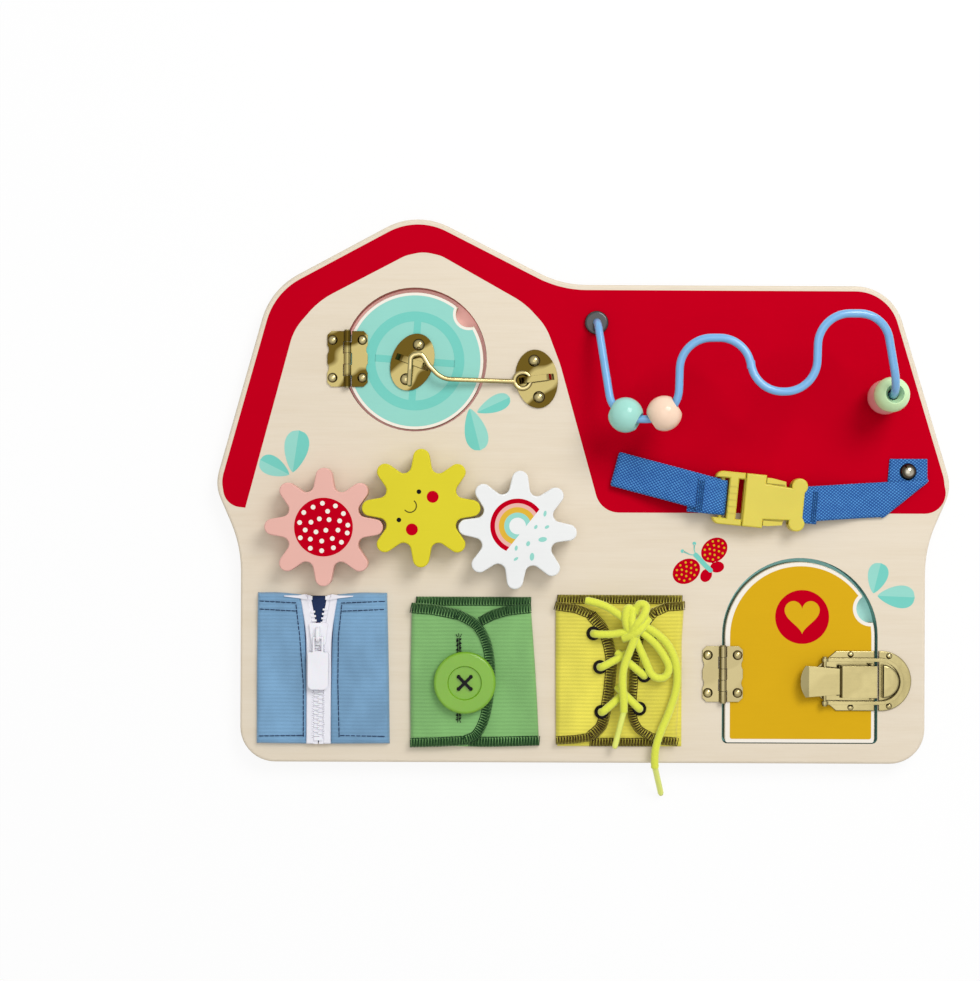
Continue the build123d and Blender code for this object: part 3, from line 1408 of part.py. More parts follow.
# ---------------------------------------------------------------- export
nodes = {
    "back_panel": back_panel, "front_panel": front_panel,
    "window_door": window_door, "barn_door": barn_door,
    "window_hinge_board_leaf": window_hinge_board_leaf, "window_hinge_door_leaf": window_hinge_door_leaf,
    "window_hinge_pin": window_hinge_pin, "barn_hinge_board_leaf": barn_hinge_board_leaf,
    "barn_hinge_door_leaf": barn_hinge_door_leaf, "barn_hinge_pin": barn_hinge_pin,
    "board_rivets": board_rivets, "window_rivets": window_rivets, "barn_door_rivets": barn_door_rivets,
    "strap_screws": strap_screws, "hook_plate": hook_plate, "catch_plate": catch_plate, "hook": hook,
    "gear_spacers": gear_spacers, "maze_wire": maze_wire, "maze_end_caps": maze_end_caps,
    "bead_teal": bead_teal, "bead_peach": bead_peach, "bead_green": bead_green, "bead_pink": bead_pink,
    "strap_left": strap_left, "strap_right": strap_right, "buckle_plug": buckle_plug,
    "buckle_prongs": buckle_prongs, "buckle_socket": buckle_socket,
    "latch_base": latch_base, "latch_lever": latch_lever, "latch_pivot_pin": latch_pivot_pin,
    "latch_bail_pin": latch_bail_pin, "latch_bail": latch_bail, "latch_strike": latch_strike,
    "zip_sleeve": zip_sleeve, "zip_tapes": zip_tapes, "zip_teeth": zip_teeth, "zip_stops": zip_stops,
    "zip_slider": zip_slider, "zip_pull": zip_pull,
    "button_sleeve": button_sleeve, "button": button, "button_thread": button_thread,
    "lace_sleeve": lace_sleeve, "lace_eyelets": lace_eyelets, "lace": lace,
    "lace_end_long": lace_end_long, "lace_end_short": lace_end_short, "lace_tips": lace_tips,
}
for side in gear_centres:
    nodes[f"gear_{side}"] = gears[side]
    nodes[f"gear_axle_{side}"] = axles[side]
    nodes[f"gear_retainer_{side}"] = retainers[side]
for name, item in nodes.items():
    item.part.label = name
    export_step(item.part, f"parts/{name}.step")
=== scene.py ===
"""Wooden busy board shaped like a farmhouse.

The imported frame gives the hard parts. This add-on finishes them, and builds the
cloth patches, the webbing, the zip, the laces, the prints, the floor and the
light around them. Lengths are in millimetres until a mesh is made.
"""

from math import acos, atan2, ceil, cos, degrees, hypot, pi, radians, sin, sqrt, tan

import bpy
from mathutils import Matrix, Vector


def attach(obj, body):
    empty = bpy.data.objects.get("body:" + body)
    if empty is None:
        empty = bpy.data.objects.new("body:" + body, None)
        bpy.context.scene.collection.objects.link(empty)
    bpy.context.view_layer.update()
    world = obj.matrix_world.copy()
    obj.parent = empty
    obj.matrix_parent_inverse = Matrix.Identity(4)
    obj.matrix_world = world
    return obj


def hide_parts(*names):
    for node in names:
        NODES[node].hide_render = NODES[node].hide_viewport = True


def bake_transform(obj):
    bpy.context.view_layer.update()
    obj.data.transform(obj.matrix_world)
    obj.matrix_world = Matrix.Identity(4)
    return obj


bl_info = {
    "name": "Farmhouse busy board",
    "version": (1, 0, 0),
    "blender": (4, 5, 0),
    "location": "View3D > Sidebar > Busy board",
    "description": "Finishes and soft parts of a wooden busy board",
    "category": "Object",
}

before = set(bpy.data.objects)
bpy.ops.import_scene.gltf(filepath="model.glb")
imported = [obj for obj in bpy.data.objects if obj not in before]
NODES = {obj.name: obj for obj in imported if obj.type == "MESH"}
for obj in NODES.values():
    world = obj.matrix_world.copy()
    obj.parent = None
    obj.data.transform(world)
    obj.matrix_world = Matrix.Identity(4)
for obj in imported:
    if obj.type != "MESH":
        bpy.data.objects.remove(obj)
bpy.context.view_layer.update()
MM = 0.001
# Heights of the board's face and of the back panel's upper side.
FACE = 12.0
BACK_FLOOR = 3.0
SIDES = (("left", -1), ("right", 1))
UP = Vector((0, 0, 1))


# ---------------------------------------------------------------- colours
WHITE = (1.0, 1.0, 1.0, 1.0)


def srgb(red, green, blue):
    """A colour given in 0 to 255 display values, as linear light."""
    def linear(value):
        value /= 255
        return value / 12.92 if value <= 0.04045 else ((value + 0.055) / 1.055) ** 2.4
    return (linear(red), linear(green), linear(blue), 1.0)


def toned(color, *scales):
    """A colour with its channels scaled by one number or by three, and held to 1."""
    scales *= 3 // len(scales)
    return (*(min(1.0, channel * scale) for channel, scale in zip(color, scales)), 1.0)


# ---------------------------------------------------------------- shader maths
class Value:
    """A number in a node tree. Arithmetic on it adds Math nodes."""

    def __init__(self, nodes, socket):
        self.nodes = nodes
        self.socket = socket

    def math(self, operation, *operands, clamp=False):
        """A Math node over values and plain numbers."""
        node = self.nodes.node("ShaderNodeMath", enumerate(operands), operation=operation, use_clamp=clamp)
        return Value(self.nodes, node.outputs[0])

    def __add__(self, other):
        return self.math("ADD", self, other)

    def __radd__(self, other):
        return self.math("ADD", other, self)

    def __sub__(self, other):
        return self.math("SUBTRACT", self, other)

    def __rsub__(self, other):
        return self.math("SUBTRACT", other, self)

    def __mul__(self, other):
        return self.math("MULTIPLY", self, other)

    def __rmul__(self, other):
        return self.math("MULTIPLY", other, self)

    def __abs__(self):
        return self.math("ABSOLUTE", self)

    def sin(self):
        """The sine of this value in radians."""
        return self.math("SINE", self)

    def larger(self, other):
        """The larger of this value and another."""
        return self.math("MAXIMUM", self, other)

    def above(self, limit):
        """1 where this value is over the limit, otherwise 0."""
        return self.math("GREATER_THAN", self, limit)

    def clamped(self):
        """This value held between 0 and 1."""
        return self.math("ADD", self, 0.0, clamp=True)


class Nodes:
    """The node tree of a finish or of the sky."""

    def __init__(self, tree):
        self.tree = tree

    def node(self, kind, inputs=(), **settings):
        """Any node: settings are its properties, inputs pairs of socket and value or link."""
        node = self.tree.nodes.new(kind)
        for label, setting in settings.items():
            setattr(node, label, setting)
        for key, item in inputs:
            if isinstance(item, Value):
                item = item.socket
            if isinstance(item, bpy.types.NodeSocket):
                self.tree.links.new(item, node.inputs[key])
            else:
                node.inputs[key].default_value = item
        return node

    def first(self, kind):
        """The node of that type that the tree began with."""
        return next(node for node in self.tree.nodes if node.type == kind)

    def seen_rays(self):
        """1 for rays that show the backdrop: camera, glossy and transmission rays."""
        rays = self.node("ShaderNodeLightPath").outputs
        camera, glossy, clear = (
            Value(self, rays[f"Is {kind} Ray"]) for kind in ("Camera", "Glossy", "Transmission"))
        return (camera + glossy + clear).clamped()

    def show(self, amount, surface, backdrop, output):
        """The tree's output is a surface that gives way to a backdrop by an amount."""
        mixed = self.node("ShaderNodeMixShader", [(0, amount), (1, surface), (2, backdrop)])
        self.tree.links.new(mixed.outputs[0], self.first(output).inputs["Surface"])


class Finish(Nodes):
    """A material made of a Principled shader and procedural patterns in millimetres."""

    def __init__(self, name, color, roughness=0.5, metallic=0.0, **constants):
        self.material = bpy.data.materials.new(name)
        self.material.use_nodes = True
        self.material.diffuse_color = color
        super().__init__(self.material.node_tree)
        self.shader = self.first("BSDF_PRINCIPLED")
        constants.update(base_color=color, roughness=roughness, metallic=metallic)
        for label, constant in constants.items():
            self.shader.inputs[label.replace("_", " ").title().replace("Ior", "IOR")].default_value = constant
        raw = self.node("ShaderNodeTexCoord").outputs["Object"]
        scaled = self.node("ShaderNodeVectorMath", [(0, raw), ("Scale", 1 / MM)], operation="SCALE")
        self.place = scaled.outputs[0]

    def axes(self, turn=0.0):
        """X, Y and Z in millimetres, after turning the pattern by degrees about Z."""
        place = self.place
        if turn:
            place = self.node(
                "ShaderNodeVectorRotate", [("Vector", place), ("Angle", radians(turn))],
                rotation_type="Z_AXIS").outputs[0]
        return [Value(self, socket) for socket in self.node("ShaderNodeSeparateXYZ", [(0, place)]).outputs]

    def noise(self, per_mm, detail=3.0, stretch=(1, 1, 1), roughness=0.55):
        """Noise from 0 to 1 with per_mm features in a millimetre, stretched along the axes."""
        scaled = self.node("ShaderNodeVectorMath", [(0, self.place), (1, stretch)], operation="MULTIPLY")
        texture = self.node("ShaderNodeTexNoise", [
            ("Vector", scaled.outputs[0]), ("Scale", per_mm), ("Detail", detail), ("Roughness", roughness)])
        return Value(self, texture.outputs["Fac"])

    def upright(self):
        """1 on faces that look up or down, 0 on walls."""
        normal = self.node("ShaderNodeNewGeometry").outputs["Normal"]
        return abs(Value(self, self.node("ShaderNodeSeparateXYZ", [(0, normal)]).outputs["Z"]))

    def mix(self, amount, first, second):
        """A colour between two others, second at amount 1."""
        return self.node("ShaderNodeMix", [(0, amount), (6, first), (7, second)], data_type="RGBA").outputs[2]

    def paint(self, socket):
        """The base colour follows a colour socket."""
        self.tree.links.new(socket, self.shader.inputs["Base Color"])

    def rough(self, value):
        """The roughness follows a value."""
        self.tree.links.new(value.socket, self.shader.inputs["Roughness"])

    def bump(self, height, depth=0.05, strength=1.0, softened=0.0):
        """The surface normal follows a height from 0 to 1 over depth mm, with edges softened by some mm."""
        inputs = [("Strength", strength), ("Distance", depth * MM), ("Height", height)]
        if softened:
            soft = self.node("ShaderNodeBevel", [("Radius", softened * MM)], samples=4).outputs[0]
            inputs.append(("Normal", soft))
        self.tree.links.new(self.node("ShaderNodeBump", inputs).outputs[0], self.shader.inputs["Normal"])


# ---------------------------------------------------------------- finishes
# Pitches of the patterns in millimetres.
PLY_LAYER = 1.5
# The turn and pitch of the painted reflection bands on metal.
REFLECTION_TURN, REFLECTION_PITCH = 52, 24.0
RIB_PITCH = 2.05
KNIT_COLUMN, KNIT_ROW = 0.55, 0.5
TAPE_WAVE, TAPE_ROW = 0.9, 0.7
WEAVE, WEAVE_ACROSS = 2.1, 0.82 * 2.1
# How far the floor gives way to white where it is seen.
FLOOR_WHITE = 0.88


def wave(value, pitch):
    """A sine along a value in millimetres."""
    return (value * (2 * pi / pitch)).sin()


def birch(name, light, edge=True):
    """Birch plywood: fine grain on the faces and glued layers along the edges."""
    dark = srgb(204, 184, 150)
    wood = Finish(name, light, roughness=0.55)
    grain = wood.noise(0.9, 5.0, (0.05, 1.0, 1.0), 0.6)
    streak = wood.noise(0.12, 3.0, (0.08, 1.0, 1.0))
    face = wood.mix((grain * 0.4 + streak * 0.45 - 0.34).clamped(), light, dark)
    if edge:
        layer = (wood.axes()[2] * (pi / PLY_LAYER)).sin() + (wood.noise(0.7, 2.0) - 0.5) * 0.8
        sides = wood.mix(layer.above(0.0) * 0.75, dark, srgb(166, 136, 96))
        face = wood.mix((wood.upright() * 3.0 - 1.0).clamped(), sides, face)
    wood.paint(face)
    wood.rough(grain * 0.18 + 0.46)
    wood.bump(grain, 0.04, 0.5)
    return wood


def painted(name, color, roughness=0.42, gloss=0.0, shine=0.03, glow=0.0):
    """Paint or print on wood: a little of the grain shows through the film, and glow makes it glow as painted
    light.
    """
    film = Finish(
        name, color, roughness=roughness, coat_weight=gloss, coat_roughness=0.08, specular_ior_level=shine,
        emission_color=color, emission_strength=glow)
    grain = film.noise(0.8, 4.0, (0.07, 1.0, 1.0), 0.6)
    cloud = film.noise(0.05, 2.0)
    film.paint(film.mix((grain * 0.3 + cloud * 0.45 - 0.26).clamped(), color, toned(color, 0.88)))
    film.rough(grain * 0.12 + (roughness - 0.06))
    film.bump(grain, 0.03, 0.35)
    return film


def metal(name, color, roughness, per_mm=0.25, brushed=0.0, shade=0.3, rim=0.0):
    """Plated metal with faint marks brushed along X; shade paints dark reflection bands, rim paints dark
    reflections on slopes.
    """
    plate = Finish(name, color, roughness=roughness, metallic=1.0)
    marks = plate.noise(per_mm, 4.0, (1.0 - 0.93 * brushed, 1.0, 1.0), 0.6)
    # Slanting bands of painted reflection, light and dark, across the plate.
    slant = plate.axes(REFLECTION_TURN)[0]
    band = (slant * (2 * pi / REFLECTION_PITCH) + plate.noise(0.06, 1.0) * 4.0).sin()
    darker = toned(color, 1 - 0.75 * shade, 1 - 0.8 * shade, 1 - 0.92 * shade)
    shown = plate.mix((band * 1.7 + 0.55).clamped(), color, darker)
    # Slopes painted darker as a painted dark reflection.
    if rim:
        slope = ((1.0 - plate.upright()) * 4.0 - 0.25).clamped()
        shown = plate.mix(slope * rim, shown, toned(color, 0.1, 0.08, 0.06))
    plate.paint(shown)
    plate.rough(marks * 0.14 + (roughness - 0.05))
    plate.bump(marks * 0.15 + plate.noise(0.14, 1.0) * 0.85, 0.22, 0.5, softened=0.28)
    return plate


def plastic(name, color, roughness=0.35, gloss=0.0):
    """Moulded plastic with a fine eggshell surface."""
    resin = Finish(
        name, color, roughness=roughness, coat_weight=gloss, coat_roughness=0.06, subsurface_weight=0.08,
        subsurface_scale=0.002)
    grain = resin.noise(1.6, 3.0)
    cloud = resin.noise(0.06, 2.0)
    resin.paint(resin.mix((cloud - 0.25).clamped(), color, toned(color, 0.88)))
    resin.rough(grain * 0.14 + (roughness - 0.05))
    resin.bump(grain, 0.02, 0.35)
    return resin


def knit(name, color, patchiness=1.3):
    """Fine knitted cloth: small stitches between modelled ribs, painted shade along the ribs, paler and
    darker in random patches.
    """
    cloth = Finish(name, color, roughness=0.82, sheen_weight=0.35, sheen_roughness=0.4)
    x, y = cloth.axes()[:2]
    stitch = (wave(x, KNIT_COLUMN) * wave(y, KNIT_ROW)) * 0.5 + 0.5
    # Painted shade that rises and falls at the pitch of the modelled ribs.
    rib_shade = wave(y, RIB_PITCH) * 0.5 + 0.5
    fuzz = cloth.noise(2.4, 3.0)
    patches = cloth.noise(0.045, 2.0, (1.0, 0.6, 1.0))
    tone = (rib_shade * 0.25 + fuzz * 0.4 + stitch * 0.15 + patches * patchiness - 0.5 * patchiness - 0.03).clamped()
    cloth.paint(cloth.mix(tone, toned(color, 0.74), toned(color, 1.12)))
    cloth.bump(stitch * 0.6 + fuzz * 0.4, 0.12, 0.7)
    return cloth


def tape(name, color):
    """Woven zip tape: a fine herringbone along its length."""
    cloth = Finish(name, color, roughness=0.7, sheen_weight=0.2)
    x, y = cloth.axes()[:2]
    bone = (wave(x, TAPE_WAVE) * 2.2 + y * (2 * pi / TAPE_ROW)).sin() * 0.5 + 0.5
    tone = (bone * 0.35 + cloth.noise(0.2, 2.0) * 0.5 - 0.15).clamped()
    cloth.paint(cloth.mix(tone, color, toned(color, 0.84)))
    cloth.bump(bone, 0.05, 0.4)
    return cloth


def webbing(name, color, turn):
    """Woven webbing: ribs across the strap, lighter and paler on the tops of its loops."""
    cloth = Finish(
        name, color, roughness=0.6, sheen_weight=0.15, sheen_roughness=0.35, specular_ior_level=0.25)
    along, across = cloth.axes(-turn)[:2]
    length = along * (pi / WEAVE) + cloth.noise(0.5, 2.0) * 0.8
    width = across * (pi / WEAVE_ACROSS)
    over = length.sin() * width.sin()
    under = (length + pi / 2).sin() * (width + pi / 2).sin()
    loops = abs(over).larger(abs(under))
    tone = (loops * 2.6 - 1.9 + cloth.noise(0.16, 2.0) * 0.7).clamped()
    cloth.paint(cloth.mix(tone, toned(color, 0.35, 0.5, 0.66), toned(color, 3.4, 2.0, 1.45)))
    cloth.bump(loops, 0.35, 0.9)
    return cloth


def yarn(name, color, roughness=0.75, sheen=0.05):
    """Spun or braided thread."""
    thread = Finish(name, color, roughness=roughness, sheen_weight=sheen, specular_ior_level=0.15)
    fibre = thread.noise(2.2)
    thread.paint(thread.mix((fibre * 1.1 - 0.2).clamped(), toned(color, 0.7), color))
    thread.bump(fibre, 0.08, 0.6)
    return thread


def pale_floor(name, color):
    """A plain pale floor that stays near white where it is seen and keeps a soft shadow."""
    ground = Finish(name, color, roughness=0.9)
    ground.paint(ground.mix(ground.noise(0.004, 2.0), (0.93, 0.93, 0.93, 1.0), (0.96, 0.96, 0.96, 1.0)))
    white = ground.node("ShaderNodeEmission", [("Color", WHITE), ("Strength", 1.0)])
    ground.show(
        ground.seen_rays() * FLOOR_WHITE, ground.shader.outputs[0], white.outputs[0], "OUTPUT_MATERIAL")
    return ground


LACQUER = dict(roughness=0.22, gloss=0.6)
# For each finish its maker, its colour or the setting that holds it, and its options.
FINISHES = {
    "birch": (birch, "wood", {}),
    "birch_plain": (birch, "wood", dict(edge=False)),
    # Opening paint: backings painted brighter and glowing as painted light, linings darker as painted shade
    # with a faint glow.
    "lining_pink": (painted, srgb(208, 140, 132), dict(glow=0.04)),
    "lining_teal": (painted, srgb(110, 168, 164), dict(glow=0.04)),
    "backing_pink": (painted, srgb(244, 196, 188), dict(glow=0.25)),
    "backing_teal": (painted, srgb(176, 232, 226), dict(glow=0.2)),
    "print_red": (painted, "roof", dict(shine=0.0)),
    "print_teal": (painted, "window", {}),
    "print_teal_deep": (painted, srgb(119, 205, 192), {}),
    "print_cream": (painted, srgb(243, 236, 224), {}),
    "print_yellow": (painted, "door", {}),
    "print_pink": (painted, "gear_left", {}),
    "print_orange": (painted, srgb(224, 180, 60), {}),
    "print_black": (painted, srgb(24, 22, 24), {}),
    "print_grey": (painted, srgb(84, 76, 30), {}),
    "gear_pink": (painted, "gear_left", dict(roughness=0.36)),
    "gear_yellow": (painted, "gear_middle", dict(roughness=0.36)),
    "gear_white": (painted, "gear_right", dict(roughness=0.36)),
    "bead_teal": (painted, srgb(160, 218, 205), LACQUER),
    "bead_peach": (painted, srgb(246, 214, 188), LACQUER),
    "bead_green": (painted, srgb(206, 238, 182), LACQUER),
    "bead_pink": (painted, srgb(228, 146, 144), LACQUER),
    # Metals carry painted reflections: shade darkens slanting bands, rim darkens slopes; plate_brass is
    # painted darkest.
    "brass": (metal, srgb(155, 143, 104), dict(roughness=0.16, shade=0.12, rim=0.55)),
    "plate_brass": (metal, srgb(152, 138, 88), dict(roughness=0.1, shade=1.0)),
    "hook_brass": (metal, srgb(196, 180, 128), dict(roughness=0.1, shade=0.3, rim=0.35)),
    "nickel": (metal, srgb(206, 202, 192), dict(roughness=0.08, shade=0.5, rim=2.2)),
    "rivet_brass": (metal, srgb(184, 170, 122), dict(roughness=0.12, shade=0.2, rim=0.8)),
    "latch_brass": (metal, srgb(164, 152, 107), dict(
        roughness=0.16, per_mm=0.8, brushed=1.0, shade=0.12, rim=0.55)),
    "black_metal": (metal, srgb(26, 23, 22), dict(roughness=0.3)),
    "blue_wire": (plastic, srgb(112, 172, 222), dict(roughness=0.2, gloss=0.5)),
    "black_plastic": (plastic, srgb(26, 25, 27), dict(roughness=0.25, gloss=0.4)),
    "buckle_yellow": (plastic, srgb(215, 198, 66), dict(roughness=0.38)),
    "button_green": (plastic, srgb(118, 172, 28), dict(roughness=0.32, gloss=0.2)),
    "zip_white": (plastic, srgb(238, 237, 243), dict(gloss=0.2)),
    "tip_yellow": (plastic, srgb(232, 240, 110), dict(roughness=0.3, gloss=0.3)),
    "tape_white": (tape, srgb(240, 239, 246), {}),
    "cloth_blue": (knit, "zip_cloth", dict(patchiness=2.2)),
    "cloth_green": (knit, "button_cloth", {}),
    "cloth_yellow": (knit, "lace_cloth", {}),
    "thread_navy": (yarn, srgb(34, 52, 92), {}),
    "thread_green": (yarn, srgb(22, 66, 30), {}),
    "thread_olive": (yarn, srgb(70, 50, 12), {}),
    "thread_black": (yarn, srgb(20, 20, 22), {}),
    "thread_blue": (yarn, srgb(30, 84, 140), {}),
    "lace_yellow": (yarn, "lace", dict(roughness=0.6, sheen=0.4)),
    "webbing_left": (webbing, srgb(44, 110, 180), dict(turn=-15.0)),
    "webbing_right": (webbing, srgb(44, 110, 180), dict(turn=4.8)),
    "floor_white": (pale_floor, (0.95, 0.95, 0.95, 1.0), {}),
}
MADE = {}


def finish(name):
    """The material of that name, made the first time it is asked for."""
    if name not in MADE:
        maker, color, options = FINISHES[name]
        if isinstance(color, str):
            color = getattr(settings(), color)[:]
        MADE[name] = maker(name, color, **options).material
    return MADE[name]


def dress(material, *nodes):
    """Those CAD nodes show that finish."""
    for node in nodes:
        mesh = NODES[node].data
        mesh.materials.clear()
        mesh.materials.append(finish(material))


# ---------------------------------------------------------------- mesh helpers
def added(name, mesh, material, body):
    """A mesh as a piece with its finish."""
    mesh.materials.clear()
    mesh.materials.append(finish(material))
    item = bpy.data.objects.new(name, mesh)
    bpy.context.scene.collection.objects.link(item)
    if body:
        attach(item, body)
    return item


def piece(name, verts, faces, material, body, slot):
    """A smooth piece from millimetre points."""
    mesh = bpy.data.meshes.new(name)
    mesh.from_pydata([Vector(v) * MM for v in verts], [], faces)
    mesh.validate()
    mesh.update()
    mesh.shade_smooth()
    return added(name, mesh, material, body)


def arc(centre, radius, start, end, steps=24):
    """Points on an arc from one angle to another, in degrees."""
    return [
        (centre[0] + radius * cos(radians(start + (end - start) * k / steps)),
         centre[1] + radius * sin(radians(start + (end - start) * k / steps)))
        for k in range(steps + 1)
    ]


def circle(centre, radius, steps):
    """A closed chain round a circle."""
    return arc(centre, radius, 0, 360, steps)[:-1]


def rounded(points, radii, closed=True, steps=10):
    """A chain of points with each corner rounded by its radius."""
    count = len(points)
    result = []
    for index, (here, radius) in enumerate(zip(points, radii)):
        if (not closed and index in (0, count - 1)) or radius <= 0:
            result.append(tuple(here))
            continue
        before, after = Vector(points[index - 1]), Vector(points[(index + 1) % count])
        corner = Vector(here)
        into, out = (corner - before).normalized(), (after - corner).normalized()
        half = into.angle(out) / 2
        if half < 1e-4:
            result.append(tuple(here))
            continue
        reach = radius * tan(half)
        side = 1 if into.x * out.y - into.y * out.x > 0 else -1
        start = corner - into * reach
        centre = start + Vector((-into.y, into.x)) * side * radius
        first = atan2(start.y - centre.y, start.x - centre.x)
        for k in range(steps + 1):
            angle = first + side * 2 * half * k / steps
            result.append((centre.x + radius * cos(angle), centre.y + radius * sin(angle)))
    return result


def inset(points, distance):
    """A closed counter-clockwise chain moved inwards."""
    count = len(points)
    result = []
    for index in range(count):
        before, here, after = (Vector(points[k % count]) for k in (index - 1, index, index + 1))
        first, second = (here - before), (after - here)
        if first.length < 1e-6 or second.length < 1e-6:
            continue
        normal = Vector((-first.y, first.x)).normalized() + Vector((-second.y, second.x)).normalized()
        result.append(tuple(here + normal.normalized() * distance))
    return result


def turned(points, centre, angle):
    """Points of a local frame turned about and moved to centre."""
    c, s = cos(radians(angle)), sin(radians(angle))
    return [(centre[0] + x * c - y * s, centre[1] + x * s + y * c) for x, y in points]


def band(chain, width):
    """The outline of a line of some width along a chain."""
    left, right = [], []
    for index, point in enumerate(chain):
        ahead = Vector(chain[min(index + 1, len(chain) - 1)]) - Vector(chain[max(index - 1, 0)])
        side = Vector((-ahead.y, ahead.x)).normalized() * (width / 2)
        left.append(tuple(Vector(point) + side))
        right.append(tuple(Vector(point) - side))
    return left + right[::-1]


def ellipse(centre, long, short, angle, steps=40):
    """An ellipse turned by an angle in degrees."""
    turns = [2 * pi * k / steps for k in range(steps)]
    return turned([(long * cos(turn), short * sin(turn)) for turn in turns], centre, angle)


def curve_mesh(name, kind, chains, spline_settings, **curve_settings):
    """The mesh of a curve through chains of points in metres."""
    curve = bpy.data.curves.new(name, "CURVE")
    for label, setting in curve_settings.items():
        setattr(curve, label, setting)
    for chain in chains:
        spline = curve.splines.new(kind)
        spline.points.add(len(chain) - 1)
        for point, place in zip(spline.points, chain):
            point.co = (*place, 1.0)
        for label, setting in spline_settings.items():
            setattr(spline, label, setting)
    shape = bpy.data.objects.new(name + "_curve", curve)
    bpy.context.scene.collection.objects.link(shape)
    bpy.context.view_layer.update()
    mesh = bpy.data.meshes.new_from_object(shape.evaluated_get(bpy.context.evaluated_depsgraph_get()))
    bpy.data.objects.remove(shape)
    bpy.data.curves.remove(curve)
    return mesh


def flat(name, outlines, height, material, body, thickness=0.0):
    """A flat print with holes where outlines lie in each other."""
    chains = [[(x * MM, y * MM, 0.0) for x, y in outline] for outline in outlines]
    mesh = curve_mesh(
        name, "POLY", chains, dict(use_cyclic_u=True), dimensions="2D", fill_mode="BOTH",
        extrude=thickness / 2 * MM)
    mesh.transform(Matrix.Translation((0, 0, height * MM)))
    return added(name, mesh, material, body)


def lining(name, outline, low, high, material, body, slot):
    """An upright wall of paint along a closed chain."""
    count = len(outline)
    verts = [(x, y, z) for z in (low, high) for x, y in outline]
    faces = [(k, k + count, (k + 1) % count + count, (k + 1) % count) for k in range(count)]
    return piece(name, verts, faces, material, body, slot)


def smooth_route(points):
    """Points along the smooth curve that the control points steer."""
    mesh = curve_mesh(
        "route", "NURBS", [[Vector(place) * MM for place in points]], dict(order_u=3, use_endpoint_u=True),
        dimensions="3D", resolution_u=8)
    route = [v.co / MM for v in mesh.vertices]
    bpy.data.meshes.remove(mesh)
    return route


def resampled(route, step):
    """The same route with points an even step apart."""
    result = [Vector(route[0])]
    carried = 0.0
    for before, after in zip(route, route[1:]):
        before, after = Vector(before), Vector(after)
        run = (after - before).length
        while carried + run >= step:
            before = before.lerp(after, (step - carried) / run)
            result.append(before.copy())
            run = (after - before).length
            carried = 0.0
        carried += run
    if (result[-1] - Vector(route[-1])).length > step * 0.3:
        result.append(Vector(route[-1]))
    return result


def tube_rings(route, radius_at, sides):
    """Vertices and faces of a closed tube whose radius is radius_at(distance, angle)."""
    verts, faces = [], []
    tangent = (route[1] - route[0]).normalized()
    side = tangent.orthogonal().normalized()
    distance = 0.0
    for index, point in enumerate(route):
        ahead = route[min(index + 1, len(route) - 1)] - route[max(index - 1, 0)]
        ahead.normalize()
        turn = tangent.rotation_difference(ahead)
        side = (turn @ side).normalized()
        tangent = ahead
        other = tangent.cross(side)
        if index:
            distance += (point - route[index - 1]).length
        for k in range(sides):
            angle = 2 * pi * k / sides
            radius = radius_at(distance, angle)
            verts.append(point + side * (radius * cos(angle)) + other * (radius * sin(angle)))
        if index:
            low = (index - 1) * sides
            for k in range(sides):
                after = (k + 1) % sides
                faces.append((low + k, low + after, low + sides + after, low + sides + k))
    last = (len(route) - 1) * sides
    faces.append(tuple(range(sides - 1, -1, -1)))
    faces.append(tuple(last + k for k in range(sides)))
    return verts, faces


def joined(parts):
    """One vertex and face list from several."""
    verts, faces = [], []
    for part_verts, part_faces in parts:
        base = len(verts)
        verts += part_verts
        faces += [tuple(base + k for k in face) for face in part_faces]
    return verts, faces


def braid(radius, end_taper=0.0, length=0.0):
    """A braided surface: strands wind both ways round the cord."""
    def radius_at(distance, angle):
        weave = max(sin(3 * angle + distance * 2.6), sin(3 * angle - distance * 2.6))
        full = radius * (0.955 + 0.045 * weave)
        if end_taper and min(distance, length - distance) < end_taper:
            left = max(0.0, min(distance, length - distance)) / end_taper
            full *= 0.72 + 0.28 * sqrt(left)
        return full
    return radius_at


def capsule(start, end, radius):
    """A short thread from one point to another with pinched ends."""
    start, end = Vector(start), Vector(end)
    along = end - start
    route = [start, start + along * 0.18, start + along * 0.82, end]

    def radius_at(distance, angle):
        return radius * (0.55 if distance <= 0 or distance >= along.length * 0.98 else 1.0)

    return tube_rings(route, radius_at, 5)


def path_steps(path, pitch):
    """Evenly spaced points with their directions along a flat chain."""
    route = resampled([Vector((x, y, 0)) for x, y in path], pitch)
    result = []
    for index, point in enumerate(route):
        ahead = route[min(index + 1, len(route) - 1)] - route[max(index - 1, 0)]
        result.append((point, ahead.normalized()))
    return result


def running_stitch(name, paths, level, material, body, slot, radius, length, gap):
    """Dashes of thread that dip into the cloth at both ends."""
    parts = []
    for path in paths:
        for end, ahead in path_steps(path, length + gap)[1:]:
            start = end - ahead * length
            low, cloth, high = UP * (level - 0.25), UP * (level + 0.1), UP * (level + 0.16)
            route = [
                start + low, start + cloth + ahead * 0.3, (start + end) / 2 + high,
                end + cloth - ahead * 0.3, end + low,
            ]
            parts.append(tube_rings(route, lambda d, a: radius, 6))
    return piece(name, *joined(parts), material, body, slot)


OVERLOCK_PITCH, OVERLOCK_SLANT, OVERLOCK_DROP, OVERLOCK_THREAD = 0.78, 0.5, 0.9, 0.25


